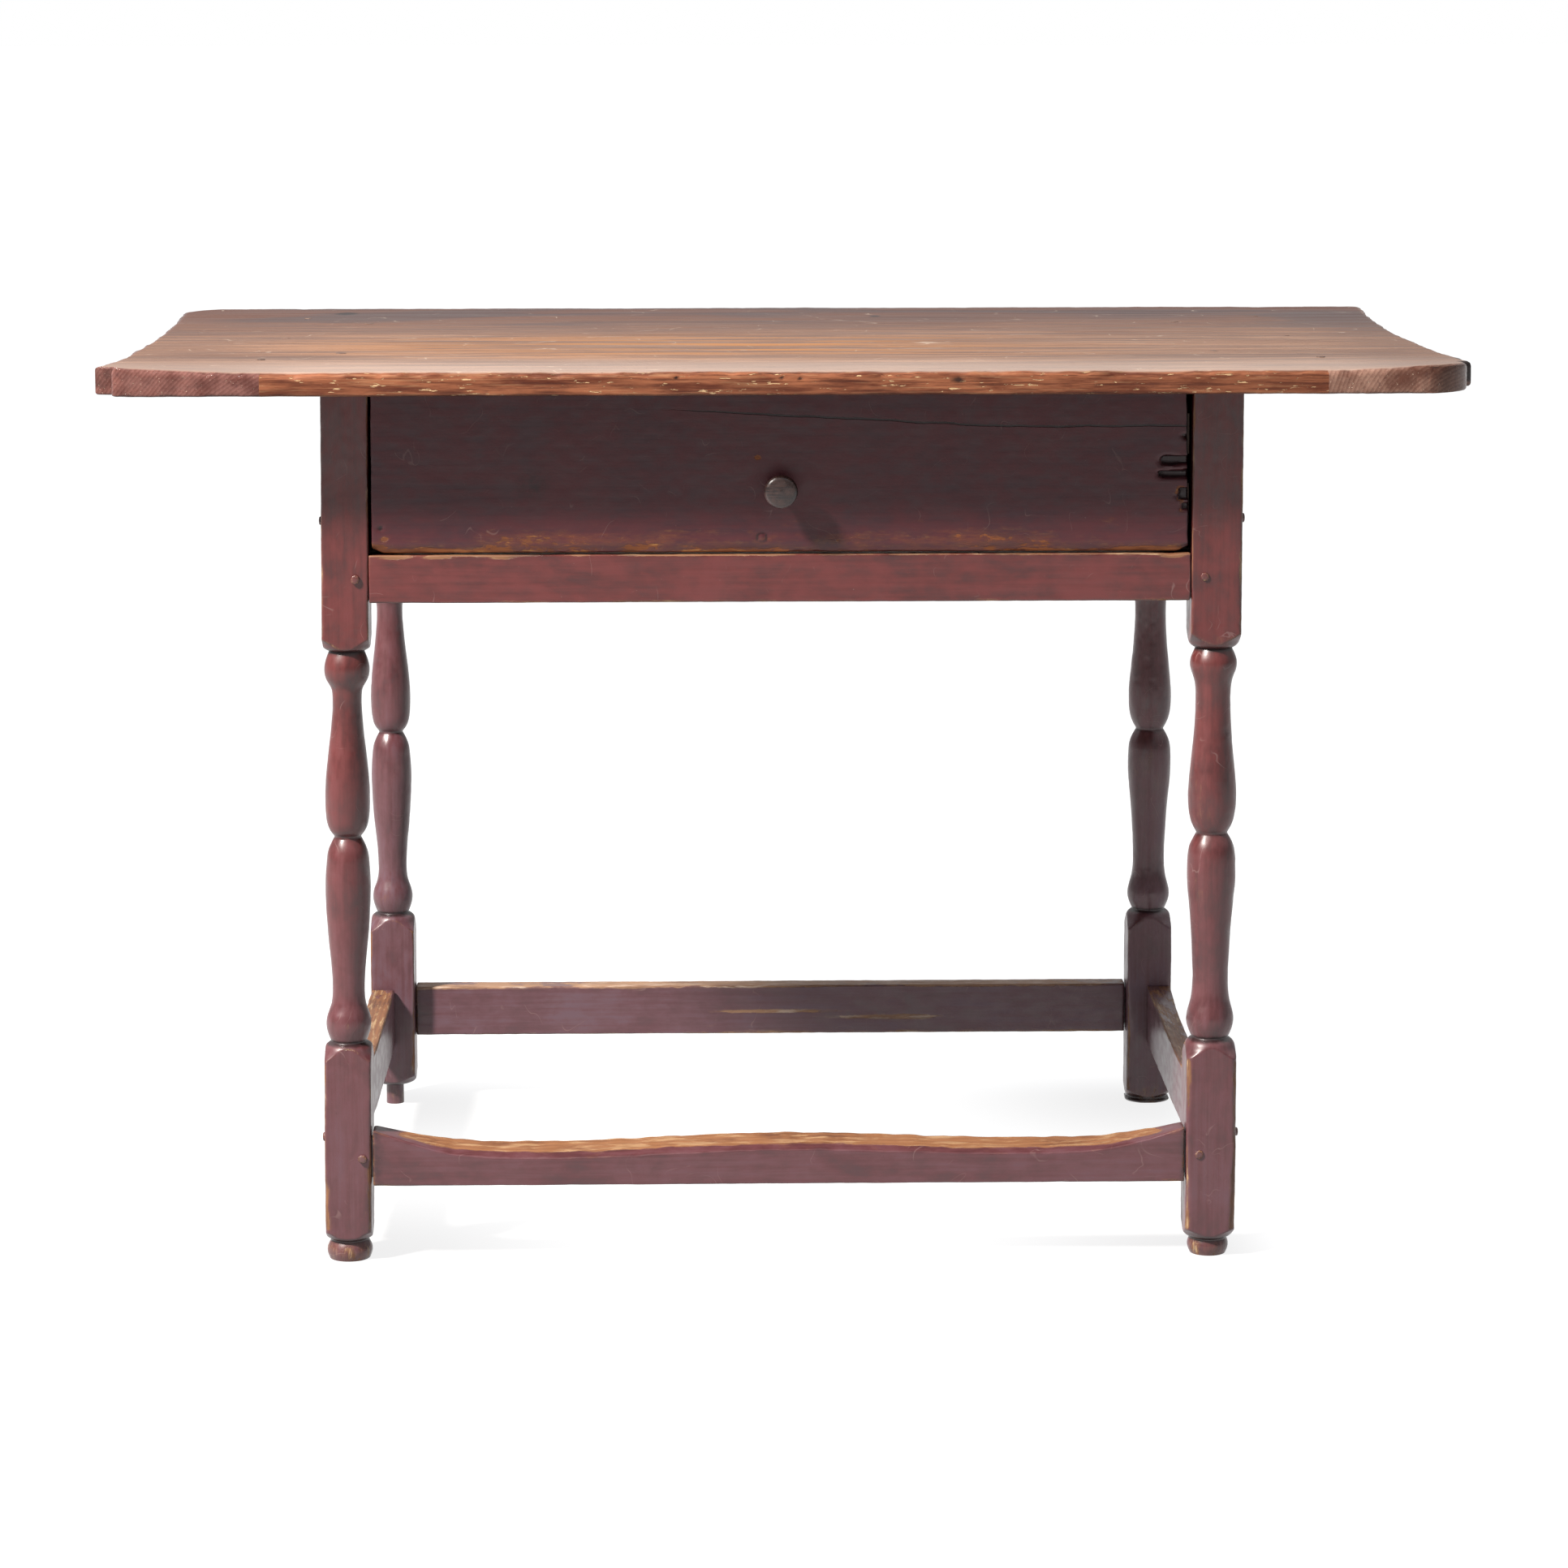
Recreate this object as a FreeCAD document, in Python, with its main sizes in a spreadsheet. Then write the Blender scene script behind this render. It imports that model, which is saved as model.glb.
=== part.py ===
import FreeCAD, Part
import math
import os
import types

import Sketcher
from FreeCAD import Vector

# A tavern table: a breadboard-ended top pegged to a turned-leg frame of mortise-and-tenon joints,
# with box stretchers near the floor and one dovetailed drawer running on wooden runners.
# Frame: origin on the floor under the middle of the top, +X along the top to the right,
# -Y towards the drawer front, +Z up.  Millimetres.

SIZES = {
    # top
    "left_overhang": 157.0,       # top past the outer faces of the legs
    "right_overhang": 169.0,
    "front_overhang": 63.0,
    "back_overhang": 63.0,
    "board_thickness": 18.0,
    "board_arris": 2.5,
    "left_end_width": 122.0,
    "right_end_width": 115.0,
    "joint_rise": 1.5,            # front corner of an end board above the main board, at the joint
    "corner_rise": 4.5,           # and at the outer edge, where the end board curls up
    "rise_run": 150.0,            # length of the curl, back from the front edge
    "left_hollow": 9.0,           # dip of the worn end edge
    "right_hollow": 14.0,
    "left_notch_depth": 14.0,     # broken front corner
    "left_notch_reach": 20.0,
    "left_corner_round": 8.0,
    "right_notch_depth": 8.0,
    "right_notch_reach": 60.0,
    "right_corner_round": 42.0,
    "left_back_round": 45.0,
    "right_back_round": 10.0,
    "tongue_length": 20.0,
    "tongue_thickness": 6.0,
    "tongue_stop": 12.0,
    "end_peg_diameter": 7.0,
    "end_peg_spacing": 210.0,
    "end_peg_inset": 9.0,
    "top_pin_diameter": 9.0,
    "top_pin_spacing": 300.0,
    "top_pin_depth": 32.0,
    # legs
    "leg_span": 650.0,
    "leg_reach": 484.0,
    "leg_height": 663.0,
    "leg_width": 38.0,
    "leg_arris": 1.5,
    "block_corner_gain": 1.5,
    "lower_shoulder_drop": 15.5,
    "upper_shoulder_rise": 7.0,
    "lower_block_rise": 60.0,     # block above the front stretcher
    "upper_block_drop": 28.0,     # block below the aprons
    "neck_radius": 13.8,
    "ball_radius": 17.6,
    "left_waist_radius": 11.4,
    "right_waist_radius": 12.8,
    "left_foot_waist_radius": 12.4,
    "right_foot_waist_radius": 13.7,
    "swell_radius": 17.6,
    "left_collar_radius": 9.8,
    "right_collar_radius": 11.5,
    "collar_offset": 6.4,         # middle collar above the middle of the turning
    "lower_neck_rise": 6.2,
    "lower_ball_rise": 18.0,
    "lower_cove_rise": 37.0,
    "lower_waist_rise": 54.0,
    "lower_swell_drop": 31.0,
    "upper_neck_drop": 9.5,
    "upper_ball_drop": 21.0,
    "upper_cove_drop": 38.5,
    "upper_waist_drop": 48.0,
    "upper_swell_rise": 29.0,
    "swell_lip": 9.0,
    # feet
    "foot_neck_height": 15.0,
    "foot_neck_radius": 13.8,
    "foot_swell_height": 6.5,
    "foot_swell_radius": 17.2,
    "foot_base_radius": 15.4,
    "ring_neck_height": 12.5,
    "ring_swell_height": 7.0,
    "ring_swell_radius": 15.6,
    "ring_base_radius": 13.6,
    "stub_height": 18.0,
    "stub_radius": 7.5,
    "worn_base_radius": 19.5,
    "foot_shoulder_height": 13.0,
    # stretchers
    "stretcher_clearance": 59.0,
    "stretcher_height": 42.5,
    "side_stretcher_clearance": 53.0,
    "side_stretcher_height": 50.5,
    "stretcher_thickness": 20.0,
    "stretcher_arris": 2.0,
    "rail_setback": 1.0,
    "hollow_inset": 88.0,         # deepest foot wear, in from each leg
    "left_front_wear": 20.7,
    "right_front_wear": 18.9,
    "middle_front_wear": 15.8,
    "left_back_wear": 12.0,
    "right_back_wear": 11.2,
    "middle_back_wear": 6.8,
    "left_outer_wear": 3.0,       # the side stretchers, at their middles
    "left_inner_wear": 1.0,
    "right_outer_wear": 12.0,
    "right_inner_wear": 2.5,
    # aprons and drawer rail
    "apron_height": 160.0,
    "apron_thickness": 20.0,
    "drawer_rail_height": 36.0,
    "drawer_rail_thickness": 22.0,
    "tenon_thickness": 8.0,
    "tenon_length": 21.0,
    "tenon_setback": 5.0,
    "tenon_shoulder": 6.0,
    "haunch_height": 14.0,
    "peg_diameter": 7.0,
    "peg_length": 25.0,
    "peg_proud": 1.5,
    "peg_inset": 10.0,
    "side_peg_rise": 59.0,
    "side_peg_spacing": 66.0,
    "side_stretcher_peg_rise": 38.0,
    # drawer slides
    "runner_thickness": 14.0,
    "runner_lift": 1.0,
    "runner_lap": 6.0,
    "guide_height": 18.0,
    "nail_diameter": 3.0,
    "nail_spacing": 170.0,
    "nail_bite": 12.0,
    # drawer
    "drawer_side_gap": 2.0,
    "drawer_top_gap": 1.5,
    "drawer_runner_gap": 0.3,
    "drawer_front_gap": 1.2,
    "drawer_back_room": 45.0,     # behind the drawer, in front of the back apron
    "drawer_front_thickness": 20.0,
    "drawer_side_thickness": 12.0,
    "drawer_back_thickness": 12.0,
    "drawer_bottom_thickness": 6.0,
    "drawer_bottom_rise": 7.0,
    "drawer_groove_depth": 5.0,
    "drawer_side_drop": 12.0,
    "tail_length": 13.0,
    "tail_width": 30.0,
    "tail_flare": 4.0,
    "tail_spacing": 52.0,
    "knob_diameter": 25.0,
    "knob_reach": 25.0,
    "knob_cap_height": 9.0,
    "knob_stem_diameter": 12.0,
    "knob_foot_diameter": 16.0,
    "knob_tenon_diameter": 9.0,
    "knob_tenon_proud": 3.0,
    "knob_drop": 13.0,
}

os.makedirs("parts", exist_ok=True)
doc = FreeCAD.newDocument("tavern_table")
sheet = doc.addObject("Spreadsheet::Sheet", "Sizes")
for row, (alias, number) in enumerate(SIZES.items(), start=1):
    sheet.set(f"A{row}", alias)
    sheet.set(f"B{row}", str(number))
    sheet.setAlias(f"B{row}", alias)
doc.recompute()


class Size:
    """A length together with the sheet expression that gives it."""

    def __init__(self, number, text):
        self.number = number
        self.text = text

    def __add__(self, other):
        other = as_size(other)
        return Size(self.number + other.number, f"({self.text} + {other.text})")

    def __sub__(self, other):
        other = as_size(other)
        return Size(self.number - other.number, f"({self.text} - {other.text})")

    def __mul__(self, other):
        other = as_size(other)
        return Size(self.number * other.number, f"({self.text} * {other.text})")

    def __truediv__(self, other):
        other = as_size(other)
        return Size(self.number / other.number, f"({self.text} / {other.text})")

    def __neg__(self):
        return self * -1


def as_size(value):
    return value if isinstance(value, Size) else Size(float(value), f"({float(value)})")


S = types.SimpleNamespace(**{alias: Size(sheet.get(alias), f"Sizes.{alias}") for alias in SIZES})
pieces = []


def place(piece, corner, rotation=None):
    """Turn a piece, then bind its position to the sheet."""
    piece.Placement = FreeCAD.Placement(Vector(), rotation or FreeCAD.Rotation())
    for axis, size in zip("xyz", corner):
        piece.setExpression(f"Placement.Base.{axis}", as_size(size).text)


def box(label, across, along, up):
    """A block between two values on each axis."""
    piece = doc.addObject("Part::Box", label)
    for name, (low, high) in zip(("Length", "Width", "Height"), (across, along, up)):
        piece.setExpression(name, (as_size(high) - low).text)
    place(piece, (across[0], along[0], up[0]))
    return piece


def rod(label, diameter, length, start, direction):
    """A round pin from its start point along a direction."""
    piece = doc.addObject("Part::Cylinder", label)
    piece.setExpression("Radius", (diameter / 2).text)
    piece.setExpression("Height", as_size(length).text)
    place(piece, start, FreeCAD.Rotation(Vector(0, 0, 1), Vector(*direction)))
    return piece


def fuse(label, shapes):
    piece = doc.addObject("Part::MultiFuse", label)
    piece.Shapes = shapes
    return piece


def cut(label, base, tools):
    """Take the tools, joined into one, out of the base."""
    piece = doc.addObject("Part::Cut", label)
    piece.Base = base
    piece.Tool = tools[0] if len(tools) == 1 else fuse(label + "_cuts", tools)
    return piece


def group(label, shapes):
    """Separate solids that share one node."""
    piece = doc.addObject("Part::Compound", label)
    piece.Links = shapes
    return piece


def keep(piece):
    """Mark a finished sub-part, whose Label names its file."""
    pieces.append(piece)
    return piece


def long_edges(label, base, direction, size, kind="Part::Fillet", pick=None):
    """Round or chamfer the straight edges of a block that run along a direction."""
    doc.recompute()
    edges = []
    for number, edge in enumerate(base.Shape.Edges, start=1):
        run = edge.lastVertex().Point - edge.firstVertex().Point
        if abs(run.normalize().dot(Vector(*direction))) < 0.99:
            continue
        if pick is None or pick(edge.CenterOfMass):
            edges.append((number, size.number, size.number))
    piece = doc.addObject(kind, label)
    piece.Base = base
    piece.Edges = edges
    return piece


def arc_centre(start, end, radius, side):
    """Centre of an arc from start to end; side 1 bulges to the right of the way along, -1 to the left."""
    chord = end - start
    middle = start + chord / 2
    offset = math.sqrt(max(radius ** 2 - chord.Length ** 2 / 4, 0))
    return middle + Vector(-chord.y, chord.x, 0).normalize() * offset * side


def draw_loop(sketch, corners, arcs=None):
    """Close a loop through corners; arcs maps a side's number to its radius and bulge."""
    arcs = arcs or {}
    points = [Vector(as_size(x).number, as_size(y).number, 0) for x, y in corners]
    ends = []
    for side, start in enumerate(points):
        end = points[(side + 1) % len(points)]
        if side not in arcs:
            sketch.addGeometry(Part.LineSegment(start, end))
            ends.append((1, 2))
            continue
        radius, bulge = arcs[side]
        centre = arc_centre(start, end, radius.number, bulge)
        first, last = (start, end) if bulge > 0 else (end, start)
        angles = [math.atan2(p.y - centre.y, p.x - centre.x) for p in (first, last)]
        circle = Part.Circle(centre, Vector(0, 0, 1), radius.number)
        sketch.addGeometry(Part.ArcOfCircle(circle, *angles))
        ends.append((1, 2) if bulge > 0 else (2, 1))
    for side, (x, y) in enumerate(corners):
        previous = (side - 1) % len(points)
        sketch.addConstraint(Sketcher.Constraint("Coincident", previous, ends[previous][1], side, ends[side][0]))
        for kind, size in (("DistanceX", x), ("DistanceY", y)):
            size = as_size(size)
            number = sketch.addConstraint(Sketcher.Constraint(kind, -1, 1, side, ends[side][0], size.number))
            sketch.setExpression(f"Constraints[{number}]", size.text)
    for side, (radius, bulge) in arcs.items():
        number = sketch.addConstraint(Sketcher.Constraint("Radius", side, radius.number))
        sketch.setExpression(f"Constraints[{number}]", radius.text)


def body_sketch(body, plane, name):
    """A sketch on one of a body's own origin planes."""
    sketch = body.newObject("Sketcher::SketchObject", name)
    flat = next(feature for feature in body.Origin.OriginFeatures if feature.Role == plane)
    sketch.AttachmentSupport = [(flat, "")]
    sketch.MapMode = "FlatFace"
    return sketch


def spline_edge(points):
    """A smooth edge through points, or a straight one through two."""
    if len(points) == 2:
        return Part.LineSegment(*points).toShape()
    curve = Part.BSplineCurve()
    curve.interpolate(points)
    return curve.toShape()


# Levels and lines that several pieces share
underside = S.leg_height
board_top = underside + S.board_thickness
half_leg = S.leg_width / 2
half_length = (S.leg_span + S.leg_width + S.left_overhang + S.right_overhang) / 2
frame_x = (S.left_overhang - S.right_overhang) / 2
half_depth = (S.leg_reach + S.leg_width + S.front_overhang + S.back_overhang) / 2
frame_y = (S.front_overhang - S.back_overhang) / 2
leg_x = {"left": frame_x - S.leg_span / 2, "right": frame_x + S.leg_span / 2}
leg_y = {"front": frame_y - S.leg_reach / 2, "back": frame_y + S.leg_reach / 2}
outward = {"left": -1, "right": 1, "front": -1, "back": 1}
inner_x = {side: leg_x[side] - half_leg * outward[side] for side in ("left", "right")}
inner_y = {end: leg_y[end] - half_leg * outward[end] for end in ("front", "back")}
face_x = {side: leg_x[side] + half_leg * outward[side] for side in ("left", "right")}
face_y = {end: leg_y[end] + half_leg * outward[end] for end in ("front", "back")}
apron_bottom = underside - S.apron_height
drawer_rail_top = apron_bottom + S.drawer_rail_height


def span(first, second):
    """Two values in rising order."""
    first, second = as_size(first), as_size(second)
    return (first, second) if first.number < second.number else (second, first)


# ---- rails and stretchers: a bar between two legs with a stub tenon at each end -------------------
tenons = {}
pegs = {}


def long_tenons(label, end, bottom, top):
    """Tenons of a bar that runs along X, in the front or back legs."""
    outside = face_y[end] - (S.rail_setback + S.tenon_setback) * outward[end]
    inside = outside - S.tenon_thickness * outward[end]
    made = []
    for side in ("left", "right"):
        reach = inner_x[side] + S.tenon_length * outward[side]
        tenon = box(f"{label}_{side}_tenon", span(inner_x[side], reach), span(outside, inside),
                    (bottom + S.tenon_shoulder, top - S.tenon_shoulder))
        tenons.setdefault((end, side), []).append(tenon)
        made.append(tenon)
    return made


def side_tenons(label, side, bottom, top):
    """Tenons of a bar that runs along Y, in the left or right legs."""
    outside = face_x[side] - (S.rail_setback + S.tenon_setback) * outward[side]
    inside = outside - S.tenon_thickness * outward[side]
    made = []
    for end in ("front", "back"):
        reach = inner_y[end] + S.tenon_length * outward[end]
        tenon = box(f"{label}_{end}_tenon", span(outside, inside), span(inner_y[end], reach),
                    (bottom + S.tenon_shoulder, top - S.tenon_shoulder))
        tenons.setdefault((end, side), []).append(tenon)
        made.append(tenon)
    return made


def long_pegs(label, end, heights):
    """Pegs driven from a front or back face through the tenons of a bar along X."""
    made = []
    for side in ("left", "right"):
        for number, height in enumerate(heights, start=1):
            start = (inner_x[side] + S.peg_inset * outward[side], face_y[end] + S.peg_proud * outward[end], height)
            peg = rod(f"{label}_{side}_{number}", S.peg_diameter, S.peg_length, start, (0, -outward[end], 0))
            pegs.setdefault((end, side), []).append(peg)
            made.append(peg)
    keep(group(label, made))
    return made


def side_pegs(label, side, heights):
    """Pegs driven from a left or right face through the tenons of a bar along Y."""
    made = []
    for end in ("front", "back"):
        for number, height in enumerate(heights, start=1):
            start = (face_x[side] + S.peg_proud * outward[side], inner_y[end] + S.peg_inset * outward[end], height)
            peg = rod(f"{label}_{end}_{number}", S.peg_diameter, S.peg_length, start, (-outward[side], 0, 0))
            pegs.setdefault((end, side), []).append(peg)
            made.append(peg)
    keep(group(label, made))
    return made


def long_bar(label, end, thickness, bottom, top):
    """A plain bar along X, set just behind the leg faces, with its long arrises eased."""
    outside = face_y[end] - S.rail_setback * outward[end]
    bar = box(label + "_bar", (inner_x["left"], inner_x["right"]), span(outside, outside - thickness * outward[end]),
              (bottom, top))
    return long_edges(label + "_eased", bar, (1, 0, 0), S.stretcher_arris)


def side_bar(label, side, thickness, bottom, top):
    """A plain bar along Y, set just inside the leg faces, with its long arrises eased."""
    outside = face_x[side] - S.rail_setback * outward[side]
    bar = box(label + "_bar", span(outside, outside - thickness * outward[side]),
              (inner_y["front"], inner_y["back"]), (bottom, top))
    return long_edges(label + "_eased", bar, (0, 1, 0), S.stretcher_arris)


def wear_outline(label, ends, bottom, top, drops, point):
    """Side view of a foot-worn bar: its top edge sinks by quarter sine waves into a hollow near each end.

    drops are the depths at the first hollow, the middle and the last hollow; point places a
    distance along the bar and a height in space.
    """
    first, last = ends[0].number, ends[1].number
    inset = S.hollow_inset.number
    low, high = bottom.number, top.number
    near, middle, far = [as_size(drop).number for drop in drops]
    run = [(first + inset * step / 3, near * math.sin(math.pi / 6 * step)) for step in range(4)]
    run += [((first + last) / 2, middle)]
    run += [(last - inset * step / 3, far * math.sin(math.pi / 6 * step)) for step in (3, 2, 1, 0)]
    worn = spline_edge([point(along, high - drop) for along, drop in run])
    corners = [point(last, high), point(last, low), point(first, low), point(first, high)]
    straight = [Part.LineSegment(a, b).toShape() for a, b in zip(corners, corners[1:])]
    outline = doc.addObject("Part::Feature", label)
    outline.Shape = Part.Wire([worn] + straight)
    return outline


def worn_bar(label, outlines):
    """A bar ruled between the outline of its outer face and that of its inner face."""
    bar = doc.addObject("Part::Loft", label)
    bar.Sections = outlines
    bar.Solid = True
    bar.Ruled = True
    return bar


stretcher_top = S.stretcher_clearance + S.stretcher_height
stretcher_middle = S.stretcher_clearance + S.stretcher_height / 2
side_stretcher_top = S.side_stretcher_clearance + S.side_stretcher_height

front_plane = face_y["front"] + S.rail_setback
front_stretcher_bar = worn_bar("front_stretcher_bar", [
    wear_outline(f"front_stretcher_{name}_outline", (inner_x["left"], inner_x["right"]), S.stretcher_clearance,
                 stretcher_top, drops, lambda along, up, y=y.number: Vector(along, y, up))
    for name, y, drops in (
        ("front", front_plane, (S.left_front_wear, S.middle_front_wear, S.right_front_wear)),
        ("back", front_plane + S.stretcher_thickness, (S.left_back_wear, S.middle_back_wear, S.right_back_wear)))])

front_stretcher = fuse("front_stretcher_whole", [front_stretcher_bar] + long_tenons(
    "front_stretcher", "front", S.stretcher_clearance, stretcher_top))
keep(cut("front_stretcher", front_stretcher, long_pegs("front_stretcher_pegs", "front", [stretcher_middle])))

back_stretcher = fuse("back_stretcher_whole", [long_bar(
    "back_stretcher", "back", S.stretcher_thickness, S.stretcher_clearance, stretcher_top)] + long_tenons(
    "back_stretcher", "back", S.stretcher_clearance, stretcher_top))
keep(cut("back_stretcher", back_stretcher, long_pegs("back_stretcher_pegs", "back", [stretcher_middle])))

drawer_rail = fuse("drawer_rail_whole", [long_bar(
    "drawer_rail", "front", S.drawer_rail_thickness, apron_bottom, drawer_rail_top)] + long_tenons(
    "drawer_rail", "front", apron_bottom, drawer_rail_top))
keep(cut("drawer_rail", drawer_rail, long_pegs(
    "drawer_rail_pegs", "front", [apron_bottom + S.drawer_rail_height / 2])))

apron_pegs = [apron_bottom + S.side_peg_rise, apron_bottom + S.side_peg_rise + S.side_peg_spacing]
back_apron = fuse("back_apron_whole", [long_bar(
    "back_apron", "back", S.apron_thickness, apron_bottom, underside)] + long_tenons(
    "back_apron", "back", apron_bottom, underside - S.haunch_height))
keep(cut("back_apron", back_apron, long_pegs("back_apron_pegs", "back", apron_pegs)))

# ---- drawer runners and guides, nailed to the side aprons -----------------------------------------
runner_top = drawer_rail_top + S.runner_lift
drawer_half = (inner_x["right"] - inner_x["left"]) / 2 - S.drawer_side_gap
drawer_x = {"left": frame_x - drawer_half, "right": frame_x + drawer_half}
rail_back = face_y["front"] + S.rail_setback + S.drawer_rail_thickness
apron_front = face_y["back"] - S.rail_setback - S.apron_thickness

SIDE_WEAR = {"left": (S.left_outer_wear, S.left_inner_wear), "right": (S.right_outer_wear, S.right_inner_wear)}

top_pins = []
for side in ("left", "right"):
    out = outward[side]
    apron_inside = face_x[side] - (S.rail_setback + S.apron_thickness) * out
    runner_edge = drawer_x[side] - (S.drawer_side_thickness + S.runner_lap) * out
    runner_low = runner_top - S.runner_thickness
    wide = box(f"{side}_runner_wide", span(runner_edge, apron_inside), (inner_y["front"], inner_y["back"]),
               (runner_low, runner_top))
    narrow = box(f"{side}_runner_narrow", span(runner_edge, inner_x[side]), (rail_back, apron_front),
                 (runner_low, runner_top))
    guide = box(f"{side}_guide_strip", span(inner_x[side], apron_inside), (inner_y["front"], inner_y["back"]),
                (runner_top, runner_top + S.guide_height))
    runner_nails = []
    guide_nails = []
    for place_number in (-1, 0, 1):
        y = frame_y + S.nail_spacing * place_number
        runner_nails.append(rod(
            f"{side}_runner_nail_{place_number + 2}", S.nail_diameter,
            (apron_inside - runner_edge) * out + S.nail_bite,
            (runner_edge, y, runner_top - S.runner_thickness / 2), (out, 0, 0)))
        guide_nails.append(rod(
            f"{side}_guide_nail_{place_number + 2}", S.nail_diameter,
            (apron_inside - inner_x[side]) * out + S.nail_bite,
            (inner_x[side], y, runner_top + S.guide_height / 2), (out, 0, 0)))
    keep(cut(f"{side}_drawer_runner", fuse(f"{side}_runner_whole", [wide, narrow]), runner_nails))
    keep(cut(f"{side}_drawer_guide", guide, guide_nails))
    keep(group(f"{side}_runner_nails", runner_nails))
    keep(group(f"{side}_guide_nails", guide_nails))

    pins = []
    for place_number in (-1, 1):
        pins.append(rod(
            f"{side}_top_pin_{place_number + 2}", S.top_pin_diameter, S.board_thickness + S.top_pin_depth,
            (face_x[side] - (S.rail_setback + S.apron_thickness / 2) * out,
             frame_y + S.top_pin_spacing / 2 * place_number, underside - S.top_pin_depth), (0, 0, 1)))
    top_pins += pins

    apron = fuse(f"{side}_apron_whole", [side_bar(
        f"{side}_apron", side, S.apron_thickness, apron_bottom, underside)] + side_tenons(
        f"{side}_apron", side, apron_bottom, underside - S.haunch_height))
    keep(cut(f"{side}_apron", apron, side_pegs(f"{side}_apron_pegs", side, apron_pegs)
             + runner_nails + guide_nails + pins))

    outer_face = face_x[side] - S.rail_setback * out
    stretcher_bar = worn_bar(f"{side}_stretcher_bar", [
        wear_outline(f"{side}_stretcher_{name}_outline", (inner_y["front"], inner_y["back"]),
                     S.side_stretcher_clearance, side_stretcher_top, (wear * 0.8, wear, wear * 0.8),
                     lambda along, up, x=x.number: Vector(x, along, up))
        for name, x, wear in (("outer", outer_face, SIDE_WEAR[side][0]),
                              ("inner", outer_face - S.stretcher_thickness * out, SIDE_WEAR[side][1]))])
    stretcher = fuse(f"{side}_stretcher_whole", [stretcher_bar] + side_tenons(
        f"{side}_stretcher", side, S.side_stretcher_clearance, side_stretcher_top))
    keep(cut(f"{side}_stretcher", stretcher, side_pegs(
        f"{side}_stretcher_pegs", side, [S.side_stretcher_clearance + S.side_stretcher_peg_rise])))

keep(group("top_pins", top_pins))

# ---- legs: a square stick turned between its blocks -----------------------------------------------
block_corner = S.leg_width.number * math.sqrt(0.5) + S.block_corner_gain.number


def shoulder(neck_radius, neck_height, block_height):
    """Rounded end of a block: the radius leaves the neck fast, then climbs to the block's corners."""
    rise = block_height - neck_height
    return [(neck_radius, neck_height), (S.leg_width.number * 0.52, neck_height + rise * 0.22),
            (S.leg_width.number * 0.63, neck_height + rise * 0.52), (block_corner, block_height)]


def leg_profile(side, foot):
    """Radius against height of the turned stick, as smooth runs that meet at its sharp grooves."""
    low = (stretcher_top + S.lower_block_rise).number
    high = (apron_bottom - S.upper_block_drop).number
    collar = (low + high) / 2 + S.collar_offset.number
    waist = {"left": S.left_waist_radius, "right": S.right_waist_radius}[side].number
    foot_waist = {"left": S.left_foot_waist_radius, "right": S.right_foot_waist_radius}[side].number
    collar_radius = {"left": S.left_collar_radius, "right": S.right_collar_radius}[side].number
    neck, ball, swell = S.neck_radius.number, S.ball_radius.number, S.swell_radius.number
    lip = S.swell_lip.number
    neck_low = low + S.lower_neck_rise.number
    neck_high = high - S.upper_neck_drop.number
    lower_swell = collar - S.lower_swell_drop.number
    upper_swell = collar + S.upper_swell_rise.number
    lower_waist = low + S.lower_waist_rise.number
    upper_waist = high - S.upper_waist_drop.number
    foot_block = foot[-1][1] + S.foot_shoulder_height.number
    block_top = low - S.lower_shoulder_drop.number
    block_bottom = high + S.upper_shoulder_rise.number
    return [
        foot,
        shoulder(*foot[-1], foot_block),
        [(block_corner, foot_block), (block_corner, block_top)],
        shoulder(neck, neck_low, block_top)[::-1],
        [(neck, neck_low), (ball, low + S.lower_ball_rise.number),
         (foot_waist + (ball - foot_waist) * 0.12, low + S.lower_cove_rise.number),
         (foot_waist, lower_waist), ((foot_waist + swell) / 2, (lower_waist + lower_swell) / 2),
         (swell, lower_swell), (swell * 0.9, collar - lip), (collar_radius, collar)],
        [(collar_radius, collar), (swell * 0.9, collar + lip), (swell, upper_swell),
         ((waist + swell) / 2, (upper_waist + upper_swell) / 2), (waist, upper_waist),
         (waist + (ball - waist) * 0.12, high - S.upper_cove_drop.number),
         (ball, high - S.upper_ball_drop.number), (neck, neck_high)],
        shoulder(neck, neck_high, block_bottom),
        [(block_corner, block_bottom), (block_corner, underside.number)],
    ]


def turned(label, runs, centre):
    """A solid of revolution about an upright axis from runs of radius against height."""
    edges = [spline_edge([Vector(radius, 0, height) for radius, height in run]) for run in runs]
    bottom, top = runs[0][0], runs[-1][-1]
    edges.append(Part.LineSegment(Vector(top[0], 0, top[1]), Vector(0, 0, top[1])).toShape())
    edges.append(Part.LineSegment(Vector(0, 0, top[1]), Vector(0, 0, bottom[1])).toShape())
    edges.append(Part.LineSegment(Vector(0, 0, bottom[1]), Vector(bottom[0], 0, bottom[1])).toShape())
    piece = doc.addObject("Part::Feature", label)
    piece.Shape = Part.Face(Part.Wire(edges)).revolve(Vector(), Vector(0, 0, 1), 360)
    place(piece, centre)
    return piece


FEET = {
    # a whole turned foot, one worn to a ring, one worn to the dowel of its turning, one worn to the block
    ("front", "left"): [(S.foot_base_radius, 0), (S.foot_swell_radius, S.foot_swell_height),
                        (S.foot_neck_radius, S.foot_neck_height)],
    ("front", "right"): [(S.ring_base_radius, 0), (S.ring_swell_radius, S.ring_swell_height),
                         (S.foot_neck_radius, S.ring_neck_height)],
    ("back", "left"): [(S.stub_radius, 0), (S.stub_radius, S.stub_height)],
    ("back", "right"): [(S.worn_base_radius, 0), (S.worn_base_radius + S.leg_arris, S.leg_arris)],
}

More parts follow.
